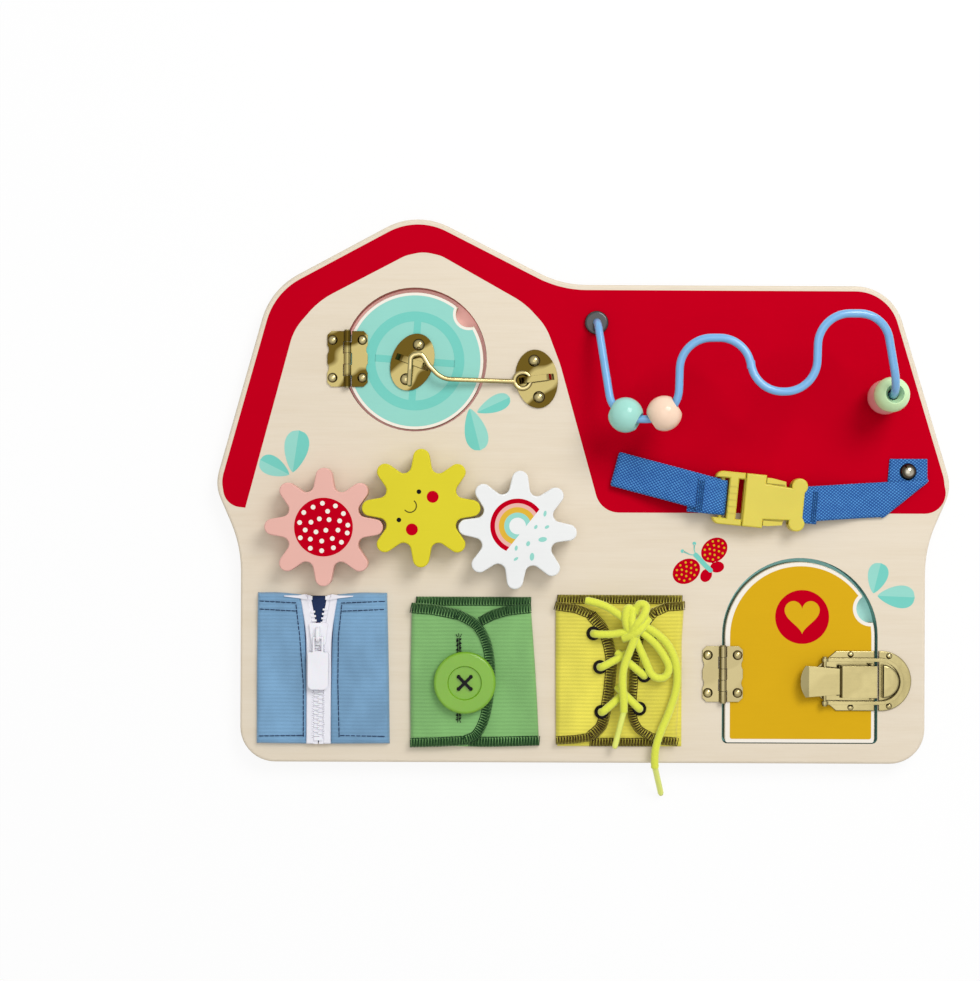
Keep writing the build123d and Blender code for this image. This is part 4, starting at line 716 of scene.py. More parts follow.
def overlock(name, paths, height, share, material, slot):
    """Slanting overlock stitches that bind a cloth edge, with a looper chain along their inner side.

    A path runs with the cloth on its left, so the stitches lie to the left of it. They are as wide
    as a share of the width in the settings."""
    width = settings().overlock_width * share
    parts = []
    for path in paths:
        steps = path_steps(path, OVERLOCK_PITCH)
        for index, (point, ahead) in enumerate(steps):
            inward = Vector((-ahead.y, ahead.x, 0))
            lean = ahead * (OVERLOCK_SLANT * OVERLOCK_PITCH * (1.6 if index % 2 else 0.5))
            deep = width * (1.0 if index % 2 else 0.86)
            route = [
                point + UP * (height - OVERLOCK_DROP) + inward * 0.05,
                point + UP * (height + 0.12) + inward * 0.35,
                point + UP * (height + 0.34) + inward * (deep * 0.5) + lean * 0.5,
                point + UP * (height + 0.12) + inward * deep + lean,
            ]
            parts.append(tube_rings(route, lambda d, a: OVERLOCK_THREAD, 5))
        chain = [p + Vector((-a.y, a.x, 0)) * width + UP * (height + 0.14) for p, a in steps]
        if len(chain) > 2:
            parts.append(tube_rings(chain, lambda d, a: 0.2 + 0.07 * sin(d * 5.4), 6))
    return piece(name, *joined(parts), material, "board", slot)


SPANS = 12


def through(points, count):
    """A smooth open chain through the points, with count even steps."""
    fine = []
    places = [Vector(p).to_3d() for p in points]
    for index in range(len(places) - 1):
        before = places[max(index - 1, 0)]
        start, end = places[index], places[index + 1]
        after = places[min(index + 2, len(places) - 1)]
        for k in range(SPANS):
            t = k / SPANS
            fine.append(0.5 * (
                2 * start + (end - before) * t + (2 * before - 5 * start + 4 * end - after) * t ** 2
                + (3 * start - before - 3 * end + after) * t ** 3))
    fine.append(places[-1])
    lengths = [0.0]
    for before, after in zip(fine, fine[1:]):
        lengths.append(lengths[-1] + (after - before).length)
    result, place = [], 0
    for k in range(count + 1):
        target = lengths[-1] * k / count
        while place < len(fine) - 2 and lengths[place + 1] < target:
            place += 1
        span = lengths[place + 1] - lengths[place]
        result.append(fine[place].lerp(fine[place + 1], (target - lengths[place]) / span if span else 0.0))
    return result


def cloth_layer(name, corners, height, floor, material, slot, rounding=2.2, swell=0.45, step=0.42, rib=0.09):
    """A ribbed cloth layer between four edges, as a closed form whose rolled edges are rounded.

    corners holds the bottom and top edges from left to right and the left and right edges from
    bottom to top, each as a few points that the edge runs through."""
    bottom, top, left, right = corners
    rows = int(ceil((top[0][1] - bottom[0][1]) / step))
    columns = max(10, int(ceil(abs(bottom[-1][0] - bottom[0][0]))))
    south, north = through(bottom, columns), through(top, columns)
    west, east = through(left, rows), through(right, rows)

    def roll(distance):
        if distance >= rounding:
            return 1.0
        ratio = 1.0 - max(0.0, distance) / rounding
        return sqrt(max(0.0, 1.0 - ratio * ratio))

    verts, faces = [], []
    for row in range(rows + 1):
        v = row / rows
        for column in range(columns + 1):
            u = column / columns
            point = (
                south[column] * (1 - v) + north[column] * v + west[row] * (1 - u) + east[row] * u
                - south[0] * ((1 - u) * (1 - v)) - south[-1] * (u * (1 - v))
                - north[0] * ((1 - u) * v) - north[-1] * (u * v))
            x, y = point.x, point.y
            sides = (west[row], east[row], south[column], north[column])
            edge = min(roll((point - side).length) for side in sides)
            bulge = swell * (sin(x * 0.13 + y * 0.06 + height) * sin(y * 0.1 - x * 0.04) - 1.0)
            cord = rib * (0.5 + 0.5 * cos(2 * pi * (y + 0.25 * sin(x * 0.2)) / RIB_PITCH)) ** 1.4 - rib
            verts.append(Vector((x, y, floor + (height + bulge + cord - floor) * (0.15 + 0.85 * edge))))
    width = columns + 1
    for row in range(rows):
        for column in range(columns):
            k = row * width + column
            faces.append((k, k + 1, k + 1 + width, k + width))
    border = list(range(width))
    border += [row * width + columns for row in range(1, rows + 1)]
    border += [rows * width + column for column in range(columns - 1, -1, -1)]
    border += [row * width for row in range(rows - 1, 0, -1)]
    base = len(verts)
    verts += [Vector((verts[k].x, verts[k].y, floor)) for k in border]
    for index in range(len(border)):
        after = (index + 1) % len(border)
        faces.append((border[index], base + index, base + after, border[after]))
    faces.append(tuple(base + k for k in range(len(border) - 1, -1, -1)))
    return piece(name, verts, faces, material, "board", slot)


def box_edges(left, right, bottom, top):
    """The four straight edges of a rectangular cloth layer."""
    return (
        [(left, bottom), (right, bottom)], [(left, top), (right, top)],
        [(left, bottom), (left, top)], [(right, bottom), (right, top)])


def ribbon(name, lines, thickness, material, body, slot):
    """A woven strap: lines run along it, one for each place across, each a chain of points and normals."""
    verts, faces = [], []
    across = len(lines)
    length = len(lines[0])
    for side in (1, -1):
        for index, line in enumerate(lines):
            edge = 1.0 if 0 < index < across - 1 else 0.35
            for point, normal in line:
                verts.append(point + normal * (side * thickness / 2 * edge))
    half = across * length
    for index in range(across - 1):
        for k in range(length - 1):
            a = index * length + k
            faces.append((a, a + length, a + length + 1, a + 1))
            faces.append((half + a, half + a + 1, half + a + length + 1, half + a + length))
    for k in range(length - 1):
        last = (across - 1) * length + k
        faces.append((k, k + 1, half + k + 1, half + k))
        faces.append((last, half + last, half + last + 1, last + 1))
    for index in range(across - 1):
        a = index * length
        b = a + length - 1
        faces.append((a, half + a, half + a + length, a + length))
        faces.append((b, b + length, half + b + length, half + b))
    return piece(name, verts, faces, material, body, slot)


# ---------------------------------------------------------------- settings
def number(name, default, description, **options):
    """A number that a user may change."""
    return bpy.props.FloatProperty(name=name, description=description, default=default, **options)


def colour(name, default):
    """A colour that a user may change."""
    return bpy.props.FloatVectorProperty(
        name=name, description=f"Colour of the {name.lower()}", default=default, size=4, min=0.0, max=1.0,
        subtype="COLOR")


class BusyBoardSettings(bpy.types.PropertyGroup):
    """What a user of the add-on may change before building."""
    view_height: number("View height", 0.93, "Height of the camera above the board's face", unit="LENGTH")
    key_power: number("Key light", 11.0, "Power of the key light", unit="POWER")
    overhead_power: number("Overhead light", 5.5, "Power of the soft box over the board", unit="POWER")
    sky: number("Sky", 0.5, "Strength of the even light from all round", min=0.0)
    print_lift: number("Print thickness", 0.05, "Thickness of the paint in millimetres", min=0.0)
    stitch: number("Running stitch", 2.3, "Length of a running stitch in millimetres", min=0.5)
    overlock_width: number("Overlock", 5.6, "Width of the overlocked seams in millimetres", min=1.0)
    wood: colour("Birch", srgb(225, 212, 191))
    roof: colour("Roof paint", srgb(192, 0, 28))
    window: colour("Window paint", srgb(150, 214, 201))
    door: colour("Door paint", srgb(216, 170, 24))
    gear_left: colour("Left gear paint", srgb(232, 180, 168))
    gear_middle: colour("Middle gear paint", srgb(220, 207, 50))
    gear_right: colour("Right gear paint", srgb(236, 237, 236))
    zip_cloth: colour("Zip patch cloth", srgb(124, 168, 204))
    button_cloth: colour("Button patch cloth", srgb(132, 188, 112))
    lace_cloth: colour("Lace patch cloth", srgb(236, 224, 84))
    lace: colour("Lace", srgb(243, 250, 82))


def settings():
    """The add-on's settings."""
    return bpy.context.scene.busy_board


# ---------------------------------------------------------------- stage
VIEW_PLACE, VIEW_ROLL = (-51.0, 0.3), 0.22
LENS, SENSOR = 62.5, 36.0
# Each light with its place and its width, and the floor's half width, in metres.
LIGHTS = (("key", (0.55, 0.75, 1.15), 0.65), ("overhead", (-0.05, 0.0, 1.6), 1.3))
FLOOR_REACH = 4.0


class BUSYBOARD_OT_stage(bpy.types.Operator):
    """Camera above the board, pale floor, one large key light and soft fill."""
    bl_idname = "busyboard.stage"
    bl_label = "Stage"

    def execute(self, context):
        scene = context.scene
        view = bpy.data.cameras.new("view")
        view.sensor_fit = "VERTICAL"
        view.sensor_height = SENSOR
        view.lens = LENS
        view.clip_end = 20.0
        camera = bpy.data.objects.new("view", view)
        camera.location = (VIEW_PLACE[0] * MM, VIEW_PLACE[1] * MM, FACE * MM + settings().view_height)
        camera.rotation_euler = (0.0, 0.0, radians(VIEW_ROLL))
        scene.collection.objects.link(camera)
        scene.camera = camera
        scene.view_settings.view_transform = "Standard"
        scene.world = bpy.data.worlds.new("studio")
        scene.world.use_nodes = True
        studio = Nodes(scene.world.node_tree)
        sky = studio.first("BACKGROUND")
        sky.inputs["Color"].default_value = WHITE
        sky.inputs["Strength"].default_value = settings().sky
        seen = studio.node("ShaderNodeBackground", [("Color", WHITE), ("Strength", 1.0)])
        studio.show(studio.seen_rays(), sky.outputs[0], seen.outputs[0], "OUTPUT_WORLD")
        for name, place, width in LIGHTS:
            lamp = bpy.data.lights.new(name, "AREA")
            lamp.shape = "SQUARE"
            lamp.size = width
            lamp.energy = getattr(settings(), f"{name}_power")
            light = bpy.data.objects.new(name, lamp)
            light.location = place
            light.rotation_euler = (-Vector(place)).to_track_quat("-Z", "Y").to_euler()
            scene.collection.objects.link(light)
        mesh = bpy.data.meshes.new("floor")
        corners = [(x * FLOOR_REACH, y * FLOOR_REACH, 0) for x, y in ((-1, -1), (1, -1), (1, 1), (-1, 1))]
        mesh.from_pydata(corners, [], [(0, 1, 2, 3)])
        mesh.materials.append(finish("floor_white"))
        ground = bpy.data.objects.new("floor", mesh)
        scene.collection.objects.link(ground)
        return {"FINISHED"}


# ---------------------------------------------------------------- laces
LACE_RADIUS, LACE_STEP, LACE_SIDES = 2.2, 0.45, 14
TIP_RADIUS, TIP_STEP, TIP_SIDES = 1.65, 0.6, 18
LONG_END = [
    (32.5, -72.5, 23.0), (42.5, -77.5, 22.5), (50.2, -90.5, 21.0), (51.2, -105.0, 19.6),
    (46.6, -119.5, 19.0), (41.0, -132.0, 19.0), (38.4, -143.0, 18.6), (39.2, -149.8, 16.8),
]
SHORT_END = [
    (27.5, -78.5, 24.0), (24.8, -86.0, 23.6), (21.3, -94.5, 23.3), (20.8, -104.0, 23.0),
    (21.8, -113.0, 22.6), (21.7, -119.0, 22.0),
]
LONG_TIP = (43.8, -166.2, 3.0)
SHORT_TIP = (17.2, -138.3, 18.4)
# From the top down: the eyelets on the left, then on the right.
EYELETS = [(5.5, -77.1), (9.2, -95.4), (10.0, -119.8), (36.9, -77.5), (33.2, -99.9), (30.6, -117.9)]
# Heights where a strand leaves an eyelet, runs over the flap and tucks under it.
LACE_EXIT = 15.75
LACE_RUN = 20.27
LACE_TUCK = 15.85
# Strands that cross to the other flap: their eyelet, their end, and how far they pass over another.
CROSSINGS = (
    (2, (22.6, -109.2), 0.0), (5, (18.6, -106.2), 1.2), (1, (23.8, -88.0), 0.0), (4, (18.4, -87.6), 1.2),
)
BOW = [
    [(*EYELETS[0], LACE_EXIT), (*EYELETS[0], LACE_RUN - 1.0), (9.0, -77.4, LACE_RUN), (18.0, -77.2, 20.6),
     (27.0, -74.8, 21.6)],
    [(*EYELETS[3], LACE_EXIT), (*EYELETS[3], LACE_RUN - 1.0), (34.8, -76.4, LACE_RUN), (28.6, -72.6, 20.7)],
    [(25.8, -77.5, 20.9), (22.6, -73.0, 22.8), (22.2, -65.0, 23.6), (24.4, -61.6, 22.8), (27.2, -66.0, 20.8)],
    [(27.8, -66.0, 20.8), (28.6, -60.0, 22.6), (34.4, -61.0, 24.0), (31.6, -68.0, 25.4), (27.0, -72.6, 25.4),
     (24.6, -79.5, 21.6)],
    [(26.6, -62.8, 21.6), (25.6, -68.4, 24.2), (26.4, -74.8, 23.6), (28.6, -79.0, 21.2)],
    [(35.0, -68.6, 21.8), (31.4, -73.2, 25.2), (26.8, -77.6, 24.6), (21.2, -79.6, 21.2)],
    [(34.2, -66.4, 21.0), (28.6, -71.4, 22.8), (22.4, -76.4, 20.9)],
    [(28.4, -73.6, 22.0), (36.8, -79.8, 22.2), (42.2, -86.6, 21.0), (47.0, -95.0, 20.6), (44.2, -101.2, 20.4),
     (37.2, -100.6, 20.4), (33.4, -91.5, 20.8), (29.4, -83.0, 21.6), (26.4, -75.6, 21.8)],
]
BOW_STUB = [(25.0, -70.4, 21.4), (18.6, -66.2, 20.9), (10.0, -60.6, 20.4), (0.7, -58.9, 19.6)]


def lace_tube(route, taper=0.0):
    """Vertices and faces of a braided lace along control points."""
    fine = resampled(smooth_route(route), LACE_STEP)
    length = sum((b - a).length for a, b in zip(fine, fine[1:]))
    return tube_rings(fine, braid(LACE_RADIUS, taper, length), LACE_SIDES)


def lace_end(name, route, tip, node):
    """A free lace end with its plastic tip."""
    cord = piece(name, *lace_tube(route), "lace_yellow", "board", "yellow_lace")
    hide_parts(node)
    start, end = Vector(route[-1]), Vector(tip)
    along = (end - start).normalized()
    sheath = resampled([start - along * TIP_STEP, end + along * TIP_RADIUS * 0.6], TIP_STEP)
    reach = (sheath[-1] - sheath[0]).length

    def sheath_radius(distance, angle):
        ridge = 0.12 if sin(distance * 5.2) > 0.75 else 0.0
        return (TIP_RADIUS + ridge) * (0.78 if distance > reach - 0.7 else 1.0)

    mesh = tube_rings(sheath, sheath_radius, TIP_SIDES)
    cap = piece(name + "_tip", *mesh, "tip_yellow", "board", "lace_tip")
    fine = resampled(smooth_route(route), 1.0)
    length = sum((b - a).length for a, b in zip(fine, fine[1:])) * MM
    tuple(fine[0] * MM)
    [tuple(p * MM) for p in fine]
    return cap


class BUSYBOARD_OT_lace_ends(bpy.types.Operator):
    """The two free ends of the lace, each a fixed length with a tip."""
    bl_idname = "busyboard.lace_ends"
    bl_label = "Lace ends"

    def execute(self, context):
        lace_end("lace_long", LONG_END, LONG_TIP, "lace_end_long")
        cap = lace_end("lace_short", SHORT_END, SHORT_TIP, "lace_end_short")
        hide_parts("lace_tips")
        return {"FINISHED"}


class BUSYBOARD_OT_lace_knot(bpy.types.Operator):
    """The laced strands, the knot and the bow loop."""
    bl_idname = "busyboard.lace_knot"
    bl_label = "Lace strands and bow"

    def execute(self, context):
        parts = []
        for eyelet, end, lift in CROSSINGS:
            x, y = EYELETS[eyelet]
            middle = ((x + 2 * end[0]) / 3, (y + 2 * end[1]) / 3, LACE_RUN - 1.4 + lift)
            bend = (x + (middle[0] - x) * 0.2, y + (middle[1] - y) * 0.2, LACE_RUN)
            route = [(x, y, LACE_EXIT), (x, y, LACE_RUN - 1.2), bend, middle, (*end, LACE_TUCK)]
            parts.append(lace_tube(route))
        parts += [lace_tube(route) for route in BOW]
        parts.append(lace_tube(BOW_STUB, taper=1.6))
        knot = piece("lace_strands", *joined(parts), "lace_yellow", "board", "yellow_lace")
        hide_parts("lace")
        return {"FINISHED"}


# ---------------------------------------------------------------- wood and prints
OUTLINE = [
    (-187.0, -148.3), (187.0, -148.3), (187.0, -30.4), (201.41, 2.6), (168.2, 112.7), (-12.0, 112.9),
    (-91.3, 153.09), (-171.4, 109.9), (-201.41, 2.6), (-187.0, -30.4),
]
OUTLINE_RADII = [19.0, 19.0, 68.0, 22.0, 27.0, 57.0, 37.0, 40.0, 22.0, 68.0]
ROOF_MARGIN = 2.9
ROOF_INNER = [
    (-195.4, -8.4), (-184.6, -9.6), (-158.5, 87.6), (-144.7, 103.7), (-97.6, 128.4), (-87.9, 130.6),
    (-78.1, 128.4), (-32.2, 102.5), (-20.7, 89.9), (-12.9, 69.3), (9.6, -11.5), (200.6, -11.5),
]
ROOF_INNER_RADII = [10.0, 0.0, 30.0, 44.0, 16.0, 20.0, 16.0, 44.0, 30.0, 60.0, 13.0, 11.4]
ROOF_LOW_LEFT, ROOF_LOW_RIGHT = 2.6, 3.8
# How far a print stands over or under the print next to it.
OVERPRINT, UNDERPRINT = 0.04, -0.02
# Each leaf with its base, its tip and its width.
LEAVES = {
    "leaf_a": ((-158.8, 9.8), (-155.4, 32.8), 14.0), "leaf_b": ((-160.6, 8.6), (-176.6, 16.6), 11.2),
    "leaf_c": ((-62.2, 45.0), (-56.4, 22.2), 13.0), "leaf_d": ((-58.2, 43.0), (-40.4, 51.2), 9.6),
    "leaf_e": ((158.5, -55.0), (162.6, -38.5), 11.6), "leaf_f": ((160.8, -56.4), (181.2, -57.2), 13.0),
}
UPPER_WINGS = (((56.4, -43.4), 8.0, 6.4, 35.0), ((71.6, -31.8), 7.8, 6.2, 40.0))
LOWER_WINGS = (((67.2, -45.6), 3.8, 3.0, 60.0), ((73.2, -41.0), 3.8, 3.0, 10.0))
# Rings of dots on a wing: their distance from its middle and their number.
WING_DOTS = ((0.0, 1), (3.1, 6), (5.9, 11))


class BUSYBOARD_OT_wood(bpy.types.Operator):
    """Plywood panels, doors and turned wooden parts."""
    bl_idname = "busyboard.wood"
    bl_label = "Plywood"

    def execute(self, context):
        dress("birch", "front_panel", "window_door", "barn_door", "back_panel")
        dress("birch_plain", "gear_spacers", "gear_axle_left", "gear_axle_middle", "gear_axle_right")
        return {"FINISHED"}


def leaf(name, base, tip, width, height):
    """A leaf of two tones: a pointed base, a round tip and a midrib between the tones."""
    base, tip = Vector(base), Vector(tip)
    along = tip - base
    side = Vector((-along.y, along.x)).normalized()
    steps = [k / 28 for k in range(29)]
    halves = [width / 1.2 * (t ** 0.72) * sqrt(max(0.0, 1 - t ** 2.2)) for t in steps]
    spine = [base + along * t for t in steps]
    midrib = [tuple(p) for p in reversed(spine[1:-1])]
    for tone, sign, material in (("light", 1, "print_teal"), ("deep", -1, "print_teal_deep")):
        edge = [tuple(p + side * h * sign) for p, h in zip(spine, halves)]
        flat(f"{name}_{tone}", [edge + midrib], height, material, "board")


class BUSYBOARD_OT_prints(bpy.types.Operator):
    """The red roof, the leaves and the butterfly on the front panel."""
    bl_idname = "busyboard.prints"
    bl_label = "Roof, leaves and butterfly"

    def execute(self, context):
        height = FACE + settings().print_lift
        edge = inset(rounded(OUTLINE, OUTLINE_RADII, steps=16), ROOF_MARGIN)
        upper = [p for p in edge if p[1] > (ROOF_LOW_RIGHT if p[0] > 0 else ROOF_LOW_LEFT)]
        start = min(range(len(upper)), key=lambda k: (upper[k][0] < 0, upper[k][1]))
        upper = upper[start:] + upper[:start]
        lower = rounded([upper[-1]] + ROOF_INNER + [upper[0]], [0.0] + ROOF_INNER_RADII + [0.0], closed=False)
        flat("roof_print", [upper + lower[1:-1]], height, "print_red", "board")
        for name, (base, tip, width) in LEAVES.items():
            leaf(name, base, tip, width, height)
        wings = [ellipse(*wing) for wing in UPPER_WINGS + LOWER_WINGS]
        flat("butterfly_wings", wings, height, "print_red", "board")
        spots = []
        for centre, *_, turn in UPPER_WINGS:
            for radius, count in WING_DOTS:
                for angle in (radians(360 * k / count) for k in range(count)):
                    place = turned([(radius * cos(angle), 0.78 * radius * sin(angle))], centre, turn)[0]
                    spots.append(ellipse(place, 0.62, 0.62, 0.0, 10))
        flat("butterfly_spots", spots, height + OVERPRINT, "print_yellow", "board")
        body = band([(60.6, -33.6), (63.5, -36.6), (67.0, -40.4), (70.4, -43.6)], 2.6)
        body = rounded(body, [1.2 if k in (0, 3, 4, 7) else 0 for k in range(8)])
        flat("butterfly_body", [body], height + 0.06, "print_teal_deep", "board")
        feelers = [
            band([(61.6, -34.6), (58.4, -34.3), (54.6, -32.6)], 0.5),
            band([(61.6, -34.6), (60.6, -31.6), (60.7, -28.6)], 0.5),
            ellipse((54.2, -32.4), 1.0, 1.0, 0, 16), ellipse((60.7, -28.2), 1.0, 1.0, 0, 16),
        ]
        flat("butterfly_feelers", feelers, height + 0.05, "print_teal_deep", "board")
        return {"FINISHED"}


# Heights of the paint on an opening's floor and at the top of its wall.
BACKING_TOP, LINING_TOP = BACK_FLOOR + 0.06, FACE - 0.3
# The round window: its middle, the middle of the bite in its rim, the print's radius and its bite.
WINDOW, WINDOW_NOTCH = (-92.3, 70.9), (-63.0, 96.4)
PANE_RADIUS, PANE_BITE = 35.8, 8.6
WINDOW_OPENING = (-92.3, 71.7)


class BUSYBOARD_OT_window(bpy.types.Operator):
    """The round window door: cream rim, teal panes and the ring with its cross bars."""
    bl_idname = "busyboard.window"
    bl_label = "Round window print"

    def execute(self, context):
        height = FACE + settings().print_lift
        across, up = WINDOW_NOTCH[0] - WINDOW[0], WINDOW_NOTCH[1] - WINDOW[1]
        gap, bearing = hypot(across, up), degrees(atan2(up, across))
        half = degrees(acos((gap ** 2 + PANE_RADIUS ** 2 - PANE_BITE ** 2) / (2 * gap * PANE_RADIUS)))
        cut = degrees(acos((gap ** 2 + PANE_BITE ** 2 - PANE_RADIUS ** 2) / (2 * gap * PANE_BITE)))

        def bitten(radius, bite):
            disc = arc(WINDOW, radius, bearing + half, bearing - half + 360, 96)
            return [disc + arc(WINDOW_NOTCH, bite, bearing + 180 + cut, bearing + 180 - cut, 16)[1:-1]]

        ring = [circle(WINDOW, 27.0, 96), circle(WINDOW, 21.6, 96)]
        bar = [(-21.7, -1.9), (21.7, -1.9), (21.7, 1.9), (-21.7, 1.9)]
        for name, shape, lift, material, slot in (
            ("teal", bitten(PANE_RADIUS, PANE_BITE), 0.0, "print_teal", "teal_paint"),
            ("ring", ring, OVERPRINT, "print_teal_deep", "teal_paint"),
            ("bar_a", [turned(bar, WINDOW, -4.0)], OVERPRINT, "print_teal_deep", "teal_paint"),
            ("bar_b", [turned(bar, WINDOW, 86.0)], 0.045, "print_teal_deep", "teal_paint"),
            ("rim", bitten(37.3, 7.1), UNDERPRINT, "print_cream", "plywood"),
        ):
            flat(f"window_{name}", shape, height + lift, material, "window")
        # The backing is painted bright and glows as painted light; the lining is painted darker as painted
        # shade, with a faint glow.
        backing, wall = circle(WINDOW_OPENING, 39.2, 96), circle(WINDOW_OPENING, 39.24, 96)
        flat("window_backing", [backing], BACKING_TOP, "backing_pink", "board")
        lining("window_lining", wall, BACK_FLOOR, LINING_TOP, "lining_pink", "board", "pink_paint")
        return {"FINISHED"}


def arch(centre, radius, foot, corner, steps=48):
    """A door outline: a half circle on straight legs with rounded feet, from the left foot round."""
    chain = [(centre[0] - radius, foot), (centre[0] + radius, foot)]
    chain += arc(centre, radius, 0, 180, steps)
    return rounded(chain, [corner, corner] + [0.0] * (steps + 1))


DOOR_NOTCH, DOOR_BITE = (157.1, -63.4), 8.0
DOOR_DISC = (119.7, -68.1)


def bitten_arch(centre, radius, foot, bite):
    """A door outline with a round bite at the notch for the fingers."""
    chain = arch(centre, radius, foot, 1.2)
    gone = [k for k, (x, y) in enumerate(chain) if hypot(x - DOOR_NOTCH[0], y - DOOR_NOTCH[1]) <= bite]
    first, last = gone[0], gone[-1]
    start, end = (
        degrees(atan2(y - DOOR_NOTCH[1], x - DOOR_NOTCH[0])) % 360
        for x, y in (chain[first - 1], chain[(last + 1) % len(chain)]))
    return chain[:first] + arc(DOOR_NOTCH, bite, start, end, 20) + chain[last + 1:]


def heart(centre, wide, tall, steps=72):
    """A heart about a point."""
    chain = []
    for k in range(steps):
        t = 2 * pi * k / steps
        x = 16 * sin(t) ** 3
        y = 13 * cos(t) - 5 * cos(2 * t) - 2 * cos(3 * t) - cos(4 * t)
        chain.append((centre[0] + x * wide, centre[1] + y * tall))
    return chain


class BUSYBOARD_OT_door(bpy.types.Operator):
    """The arched door: yellow inside a cream margin, with a heart in a red disc."""
    bl_idname = "busyboard.door"
    bl_label = "Arched door print"

    def execute(self, context):
        height = FACE + settings().print_lift
        cream = bitten_arch((118.5, -79.1), 40.5, -136.7, DOOR_BITE - 0.2)
        flat("door_cream", [cream], height + UNDERPRINT, "print_cream", "barn_door")
        yellow = bitten_arch((119.0, -79.0), 38.6, -134.8, DOOR_BITE + 1.7)
        flat("door_yellow", [yellow], height, "print_yellow", "barn_door")
        disc = [circle(DOOR_DISC, 14.7, 72), heart((DOOR_DISC[0], DOOR_DISC[1] + 1.2), 0.6, 0.63)]
        flat("door_disc", disc, height + OVERPRINT, "print_red", "barn_door")
        # The backing is painted bright and glows as painted light; the lining is painted darker as painted
        # shade, with a faint glow.
        opening = arch((118.5, -78.4), 42.4, -137.2, 2.9)
        flat("door_backing", [opening], BACKING_TOP, "backing_teal", "board")
        lining("door_lining", opening, BACK_FLOOR, LINING_TOP, "lining_teal", "board", "teal_paint")
        return {"FINISHED"}


GEARS = {"left": (-140.4, -19.7), "middle": (-88.0, -9.3), "right": (-36.1, -20.9)}
GEAR_TOP = 27.0
DOTS = [
    (-0.6, 12.8), (6.4, 11.4), (-5.6, 10.7), (2.2, 8.5), (-10.6, 7.8), (10.7, 7.3), (-2.2, 4.4),
    (3.0, 4.0), (8.7, 3.4), (-6.7, 2.6), (-12.8, 2.4), (13.1, 1.1), (-9.8, -1.6), (1.3, -1.7),
    (7.8, -1.6), (-4.0, -2.6), (12.8, -3.1), (-12.4, -5.8), (-7.0, -6.5), (4.8, -6.1), (-0.9, -7.5),
    (9.7, -8.1), (-7.0, -11.4), (5.4, -11.1), (-0.9, -12.7),
]
# The rainbow's bands with their outer and inner radius, and the chord that cuts their feet off.
RAINBOW = (
    ("bow_red", 14.7, 12.2, "print_red"), ("bow_pink", 12.2, 10.1, "print_pink"),
    ("bow_gold", 10.1, 7.2, "print_orange"), ("bow_teal", 7.2, 4.5, "print_teal"),
)
CHORD, TILT = 3.6, -38.5
# Each raindrop with its place, its half length, its half width and its turn.
DROPS = [
    (14.7, 8.9, 1.6, 0.8, 80), (9.8, 1.7, 1.2, 0.8, 60), (15.8, 1.7, 1.3, 0.8, 30),
    (13.5, -5.0, 2.3, 1.3, 8), (5.7, -7.3, 1.4, 1.0, 70), (7.8, -14.3, 2.1, 1.2, 85),
    (-0.7, -9.7, 1.4, 0.8, 80), (-0.8, -15.5, 1.4, 0.7, 35),
]


class BUSYBOARD_OT_gears(bpy.types.Operator):
    """Three gears: red disc with dots, smiling face, rainbow."""
    bl_idname = "busyboard.gears"
    bl_label = "Gears"

    def execute(self, context):
        for side, material in (("left", "gear_pink"), ("middle", "gear_yellow"), ("right", "gear_white")):
            dress(material, f"gear_{side}")
            dress("nickel", f"gear_retainer_{side}")
        height = GEAR_TOP + settings().print_lift

        def discs(side, radius, steps, places):
            cx, cy = GEARS[side]
            return [circle((cx + x, cy + y), radius, steps) for x, y in places]

        flat("dot_disc", discs("left", 15.8, 72, [(0, 0)]), height, "print_red", "gear_left")
        dots = discs("left", 1.28, 18, DOTS)
        flat("dots", dots, height + OVERPRINT, "print_cream", "gear_left")
        cx, cy = GEARS["middle"]
        for name, shape, material in (
            ("eyes", discs("middle", 1.25, 20, [(-1.2, 8.8), (-11.9, -6.4)]), "print_black"),
            ("cheeks", discs("middle", 3.2, 32, [(6.2, 6.1), (-4.9, -11.5)]), "print_red"),
            ("smile", [band(arc((cx - 6.0, cy + 1.2), 3.5, -142, 52, 24), 0.62)], "print_grey"),
        ):
            flat(name, shape, height, material, "gear_middle")
        cx, cy = GEARS["right"]
        for name, outer, inner, material in RAINBOW:
            wide, narrow = degrees(acos(CHORD / outer)), degrees(acos(CHORD / inner))
            shape = arc((cx, cy + 2.2), outer, TILT + wide, TILT + 360 - wide, 60)
            shape += arc((cx, cy + 2.2), inner, TILT + 360 - narrow, TILT + narrow, 60)
            flat(name, [shape], height, material, "gear_right")
        drops = [ellipse((cx + x, cy + y), long, short, turn, 20) for x, y, long, short, turn in DROPS]
        flat("drops", drops, height, "print_teal", "gear_right")
        return {"FINISHED"}


class BUSYBOARD_OT_metal(bpy.types.Operator):
    """Plated hinges, rivets, cabin hook and draw latch, each with its own polish and painted reflections."""
    bl_idname = "busyboard.metal"
    bl_label = "Metal parts"

    def execute(self, context):
        dress("brass", "barn_hinge_board_leaf", "barn_hinge_door_leaf", "barn_hinge_pin", "window_hinge_pin")
        dress("plate_brass", "window_hinge_board_leaf", "window_hinge_door_leaf", "hook_plate", "catch_plate")
        dress("hook_brass", "hook")
        dress("rivet_brass", "board_rivets", "window_rivets", "barn_door_rivets")
        dress("nickel", "strap_screws")
        dress("latch_brass", "latch_base", "latch_lever", "latch_pivot_pin", "latch_bail_pin", "latch_bail",
              "latch_strike")
        return {"FINISHED"}


class BUSYBOARD_OT_maze(bpy.types.Operator):
    """The coated wire with its end caps and four lacquered beads."""
    bl_idname = "busyboard.maze"
    bl_label = "Bead maze"

    def execute(self, context):
        dress("blue_wire", "maze_wire")
        dress("black_plastic", "maze_end_caps")
        for bead in ("bead_teal", "bead_peach", "bead_green", "bead_pink"):
            dress(bead, bead)
        return {"FINISHED"}


